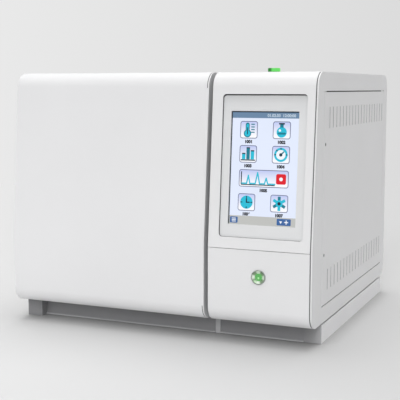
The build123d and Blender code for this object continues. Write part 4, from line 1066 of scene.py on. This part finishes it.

# %% Lamp on the top: a base, a collar and a domed lens whose glow turns darker at its left end, as painted shade
LAMP_X = 505.3
LAMP_Y = 75.0
LAMP_RADIUS = 11.0
LENS_LOW = 480.8
LENS_TOP = 487.0
lamp_glow = lit("lamp_glow", light(112, 236, 108), 0.86)
lamp_dark = finish("lamp_dark", light(70, 170, 70), 0.3, vary=0.05)
# Painted shade: the lens's green fades darker toward its left end.
tree = lamp_glow.node_tree
share = share_along(tree, "X", at(LAMP_X - 3.5, 0, 0).x, at(LAMP_X + 0.5, 0, 0).x)
green = add_ramp(tree, share, (0, light(34, 132, 40)), (1, light(112, 236, 108)))
tree.links.new(green, tree.nodes["Principled BSDF"].inputs["Emission Color"])
base = add_bar("lamp_base", at(LAMP_X, LAMP_Y, 456), 8.8, 26, "z", 48)
collar = add_bar("lamp_collar", at(LAMP_X, LAMP_Y, BODY_TOP + 0.2), LAMP_RADIUS - 0.6, 1.0, "z", 64)
soften(collar, 0.3, 2)
base = join("lamp_base", [base, collar])
even_normals(base)
place_piece(base, "chassis", lamp_dark, "lamp_green")
lens = add_bar("lamp_lens", at(LAMP_X, LAMP_Y, LENS_LOW), LAMP_RADIUS, LENS_TOP - LENS_LOW, "z", 64)
top_z = at(0, 0, LENS_TOP).z
round_edges(lens, lambda a, b: near(a.z, top_z) and near(b.z, top_z), 1.5, 6)
even_normals(lens)
place_piece(lens, "chassis", lamp_glow, "lamp_green", "status_lamp")

# %% [markdown]
# ## The base
# Two light rails run from front to back and grey beams join them, with a narrow groove
# under the body, darkened by strips as painted shade. Thin plates close the rails' front ends,
# in greys that are painted shade and light. Folded sheet has soft corners, so each piece
# gets its edges broken.

# %% Smooth copies of the folded base
folded = (
    ("base_rails", "foot_rails", rail_paint, "body_paint"),
    ("base_cross_members", "foot_beams", beam_grey, "beam_grey"),
)
for node, name, paint, slot_name in folded:
    base_piece = merged_copy(node, name)
    soften(base_piece, 0.5, 2, 50)
    even_normals(base_piece)
    place_piece(base_piece, "chassis", paint, slot_name, node)

# %% Grey plates that close the rails' front ends, in three greys that are painted shade and light
PLATE_LOW, PLATE_TOP = 0.4, 33.1
PLATES = (
    ("left_plate", (0.4, 31.6), (44.2, 45.4), plate_grey),
    ("middle_plate", (400.2, 409.8), (61.6, 62.8), post_grey),
    ("right_plate", (569.8, 601.6), (63.0, 66.4), corner_grey),
)
for name, across, depth, paint in PLATES:
    plate = add_box(name, at(across[0], depth[0], PLATE_LOW), at(across[1], depth[1], PLATE_TOP))
    soften(plate, 0.3, 2)
    even_normals(plate)
    place_piece(plate, "chassis", paint, "beam_grey")

# Painted shade: the right plate is darker toward the beam and lighter at its outer corner, where light from
# the floor reaches it.
fade_along(corner_grey, "X", at(570, 0, 0).x, at(BODY_WIDTH, 0, 0).x, ((0, 0.6), (0.5, 0.74), (1, 1)))

# %% Painted light and shade on the base: the beams' lower lips get a lighter grey as a painted highlight, and the left rail's inner side gets the beams' grey as painted shade
LIP_TOP = at(0, 0, 3.4).z
LEFT_RAIL_END = at(40, 0, 0).x


def repaint(name, paint, test):
    """Give the faces that the test names a second finish."""
    piece = bpy.data.objects[name]
    piece.data.materials.append(paint)
    for face in piece.data.polygons:
        if test(face.center, face.normal):
            face.material_index = 1


repaint("foot_beams", post_grey, lambda centre, way: centre.z < LIP_TOP and abs(way.x) < 0.5)
repaint("foot_rails", beam_grey, lambda centre, way: centre.x < LEFT_RAIL_END and way.x > 0.5)

# %% Dark strips in the grooves: painted shade under the body
GROOVE_WIDTH = 23.0
grooves = []
for left in (4.0, 575.0):
    groove = add_box("groove_strip", at(left, 66, 33.6), at(left + GROOVE_WIDTH, 535, 36.9))
    soften(groove, 0.3, 2)
    grooves.append(groove)
place_piece(join("groove_strips", grooves), "chassis", seal_grey, "seal_grey")

# %% [markdown]
# ## Rear, lid and inner parts
# The other solids already have their exact shape. Smooth copies take the place of those
# with rolls and round bars, so that light runs evenly over them.

# %% Smooth copies of the curved solids
curved = {
    "rear_panel": panel_white, "top_panel": panel_white, "bay_lid": panel_white,
    "oven_fan_wheel": stainless, "oven_fan_motor": motor_grey, "oven_heater": heater_sheath,
    "column_cage": steel, "column_coil": column_brown, "injector_bodies": stainless,
    "injector_caps": black_plastic, "detectors": stainless, "gas_fittings": brass,
    "gas_lines": steel, "flow_manifold": aluminium, "cooling_fan_frame": black_plastic,
    "cooling_fan_rotor": black_plastic, "rear_connectors": black_plastic,
    "lid_hinge_bases": steel, "lid_hinge_leaves": steel, "hinge_pins": steel,
    "door_hinge_brackets": steel, "door_hinge_blocks": steel, "oven_baffle": stainless,
    "oven_liner": stainless, "door_liner": stainless, "door_seal": seal_grey,
}
bodies = frame["record"]["behaviour"]["bodies"]
body_of_node = {node: body for body, nodes in bodies.items() for node in nodes}
for node, coating in curved.items():
    twin = merged_copy(node, node + "_dressed")
    even_normals(twin)
    place_piece(twin, body_of_node[node], coating, slot_of[node], node)

# %% [markdown]
# ## Floor, light and camera
# The floor and the world share one backdrop colour, a pale grey that falls off a little from
# left to right as a painted fall-off of light, so the floor runs into the background without a
# line. The room's light comes from above and is weak near the ground, so the base stands in
# soft shade, and the floor close to it gets a painted contact shadow. One broad sun stands high
# behind the machine and draws its shade forward, and a lower one in front and to the right
# lights the door, the side and the gap.

# %% The backdrop's colour, by the direction from the eye
EYE = at(1044.97, -1501.18, 450.64)
EYE_TURN = radians(23.41)
HALF_VIEW = 0.21


def backdrop(tree, way):
    """A pale grey by direction, for the floor and the world alike, darker to the right as a painted fall-off
    of light.
    """
    level = add_node(tree, "VectorMath", {0: way, 1: (1, 1, 0)}, operation="MULTIPLY").outputs[0]
    unit = add_node(tree, "VectorMath", {0: level}, operation="NORMALIZE").outputs[0]
    across = (cos(EYE_TURN), sin(EYE_TURN), 0)
    side = add_node(tree, "VectorMath", {0: unit, 1: across}, operation="DOT_PRODUCT").outputs["Value"]
    limits = {"From Min": -HALF_VIEW, "From Max": HALF_VIEW}
    share = add_node(tree, "MapRange", {"Value": side, **limits}).outputs["Result"]
    return add_ramp(tree, share, (0, light(233, 233, 233)), (1, light(220, 220, 220)))


# %% Floor: the backdrop's colour, with a painted contact shadow where something stands close above it
FLOOR_SHARE = 0.81
BOUNCE_SHARE = 0.84
CONTACT_REACH = 0.045
FLOOR_FROM, FLOOR_TO = 0.9, 2.6
bpy.ops.object.select_all(action="DESELECT")
bpy.ops.mesh.primitive_plane_add(size=24, location=(0, 6, 0))
floor = settle("floor")
ground = bpy.data.materials.new("ground")
ground.use_nodes = True
tree = ground.node_tree
shader = tree.nodes["Principled BSDF"]
shader.inputs["Roughness"].default_value = 0.6
shader.inputs["Specular IOR Level"].default_value = 0.2
place = add_node(tree, "TexCoord", {}).outputs["Object"]
way = add_node(tree, "VectorMath", {0: place, 1: EYE}, operation="SUBTRACT").outputs[0]
far_colour = backdrop(tree, way)
# Painted contact shadow: ambient occlusion dims the floor's colour, only for what the eye sees.
open_share = add_node(tree, "AmbientOcclusion", {"Distance": CONTACT_REACH}, samples=8).outputs["AO"]
limits = {"From Min": 0.05, "From Max": 0.9, "To Min": 0.3 * FLOOR_SHARE, "To Max": FLOOR_SHARE}
near_share = add_node(tree, "MapRange", {"Value": open_share, **limits}).outputs["Result"]
camera_ray = add_node(tree, "LightPath", {}).outputs["Is Camera Ray"]
limits = {"To Min": BOUNCE_SHARE, "To Max": near_share}
seen_share = add_node(tree, "MapRange", {"Value": camera_ray, **limits}).outputs["Result"]
colour = add_node(tree, "VectorMath", {0: far_colour, "Scale": seen_share}, operation="SCALE")
tree.links.new(colour.outputs[0], shader.inputs["Base Color"])
away = add_node(tree, "VectorMath", {0: place, 1: at(300, 280, 0)}, operation="DISTANCE").outputs["Value"]
limits = {"From Min": FLOOR_FROM, "From Max": FLOOR_TO}
far_share = add_node(tree, "MapRange", {"Value": away, **limits}, interpolation_type="SMOOTHSTEP")
plain = add_node(tree, "Emission", {"Color": far_colour})
parts = {0: far_share.outputs["Result"], 1: shader.outputs[0], 2: plain.outputs[0]}
blend = add_node(tree, "MixShader", parts)
tree.links.new(blend.outputs[0], tree.nodes["Material Output"].inputs["Surface"])
floor.data.materials.append(ground)

# %% World: the eye sees the backdrop, and the light grows toward the zenith
GROUND_LIGHT = 0.1
ZENITH_LIGHT = 0.9
world = bpy.data.worlds.new("pale_room")
bpy.context.scene.world = world
world.use_nodes = True
tree = world.node_tree
tree.nodes.clear()
way = add_node(tree, "TexCoord", {}).outputs["Generated"]
seen = add_node(tree, "Background", {"Color": backdrop(tree, way)})
height = add_node(tree, "SeparateXYZ", {0: way}).outputs["Z"]
limits = {"To Min": GROUND_LIGHT, "To Max": ZENITH_LIGHT}
climb = add_node(tree, "MapRange", {"Value": height, **limits}).outputs["Result"]
given = add_node(tree, "Background", {"Color": (1, 1, 1, 1), "Strength": climb})
path = add_node(tree, "LightPath", {}).outputs
rays = {0: path["Is Camera Ray"], 1: path["Is Glossy Ray"]}
either = add_node(tree, "Math", rays, operation="MAXIMUM")
choose = add_node(tree, "MixShader", {0: either.outputs[0], 1: given.outputs[0], 2: seen.outputs[0]})
add_node(tree, "OutputWorld", {"Surface": choose.outputs[0]})


# %% Suns: a broad one high behind, and a lower one in front and to the right
def add_sun(name, toward, energy, spread):
    bpy.ops.object.light_add(type="SUN")
    lamp = bpy.context.active_object
    lamp.name = name
    lamp.rotation_euler = Vector(toward).to_track_quat("Z", "Y").to_euler()
    lamp.data.energy = energy
    lamp.data.angle = radians(spread)


add_sun("high_sun", (-0.03, 0.20, 0.98), 1.25, 45)
add_sun("front_sun", (0.19, -0.84, 0.50), 1.3, 30)

# %% Camera
bpy.ops.object.camera_add(location=EYE, rotation=(radians(83.19), 0, EYE_TURN))
camera = bpy.context.active_object
camera.data.lens = 83.83
camera.data.sensor_width = 36
bpy.context.scene.camera = camera
bpy.context.scene.view_settings.view_transform = "Standard"

# %% The end
import json
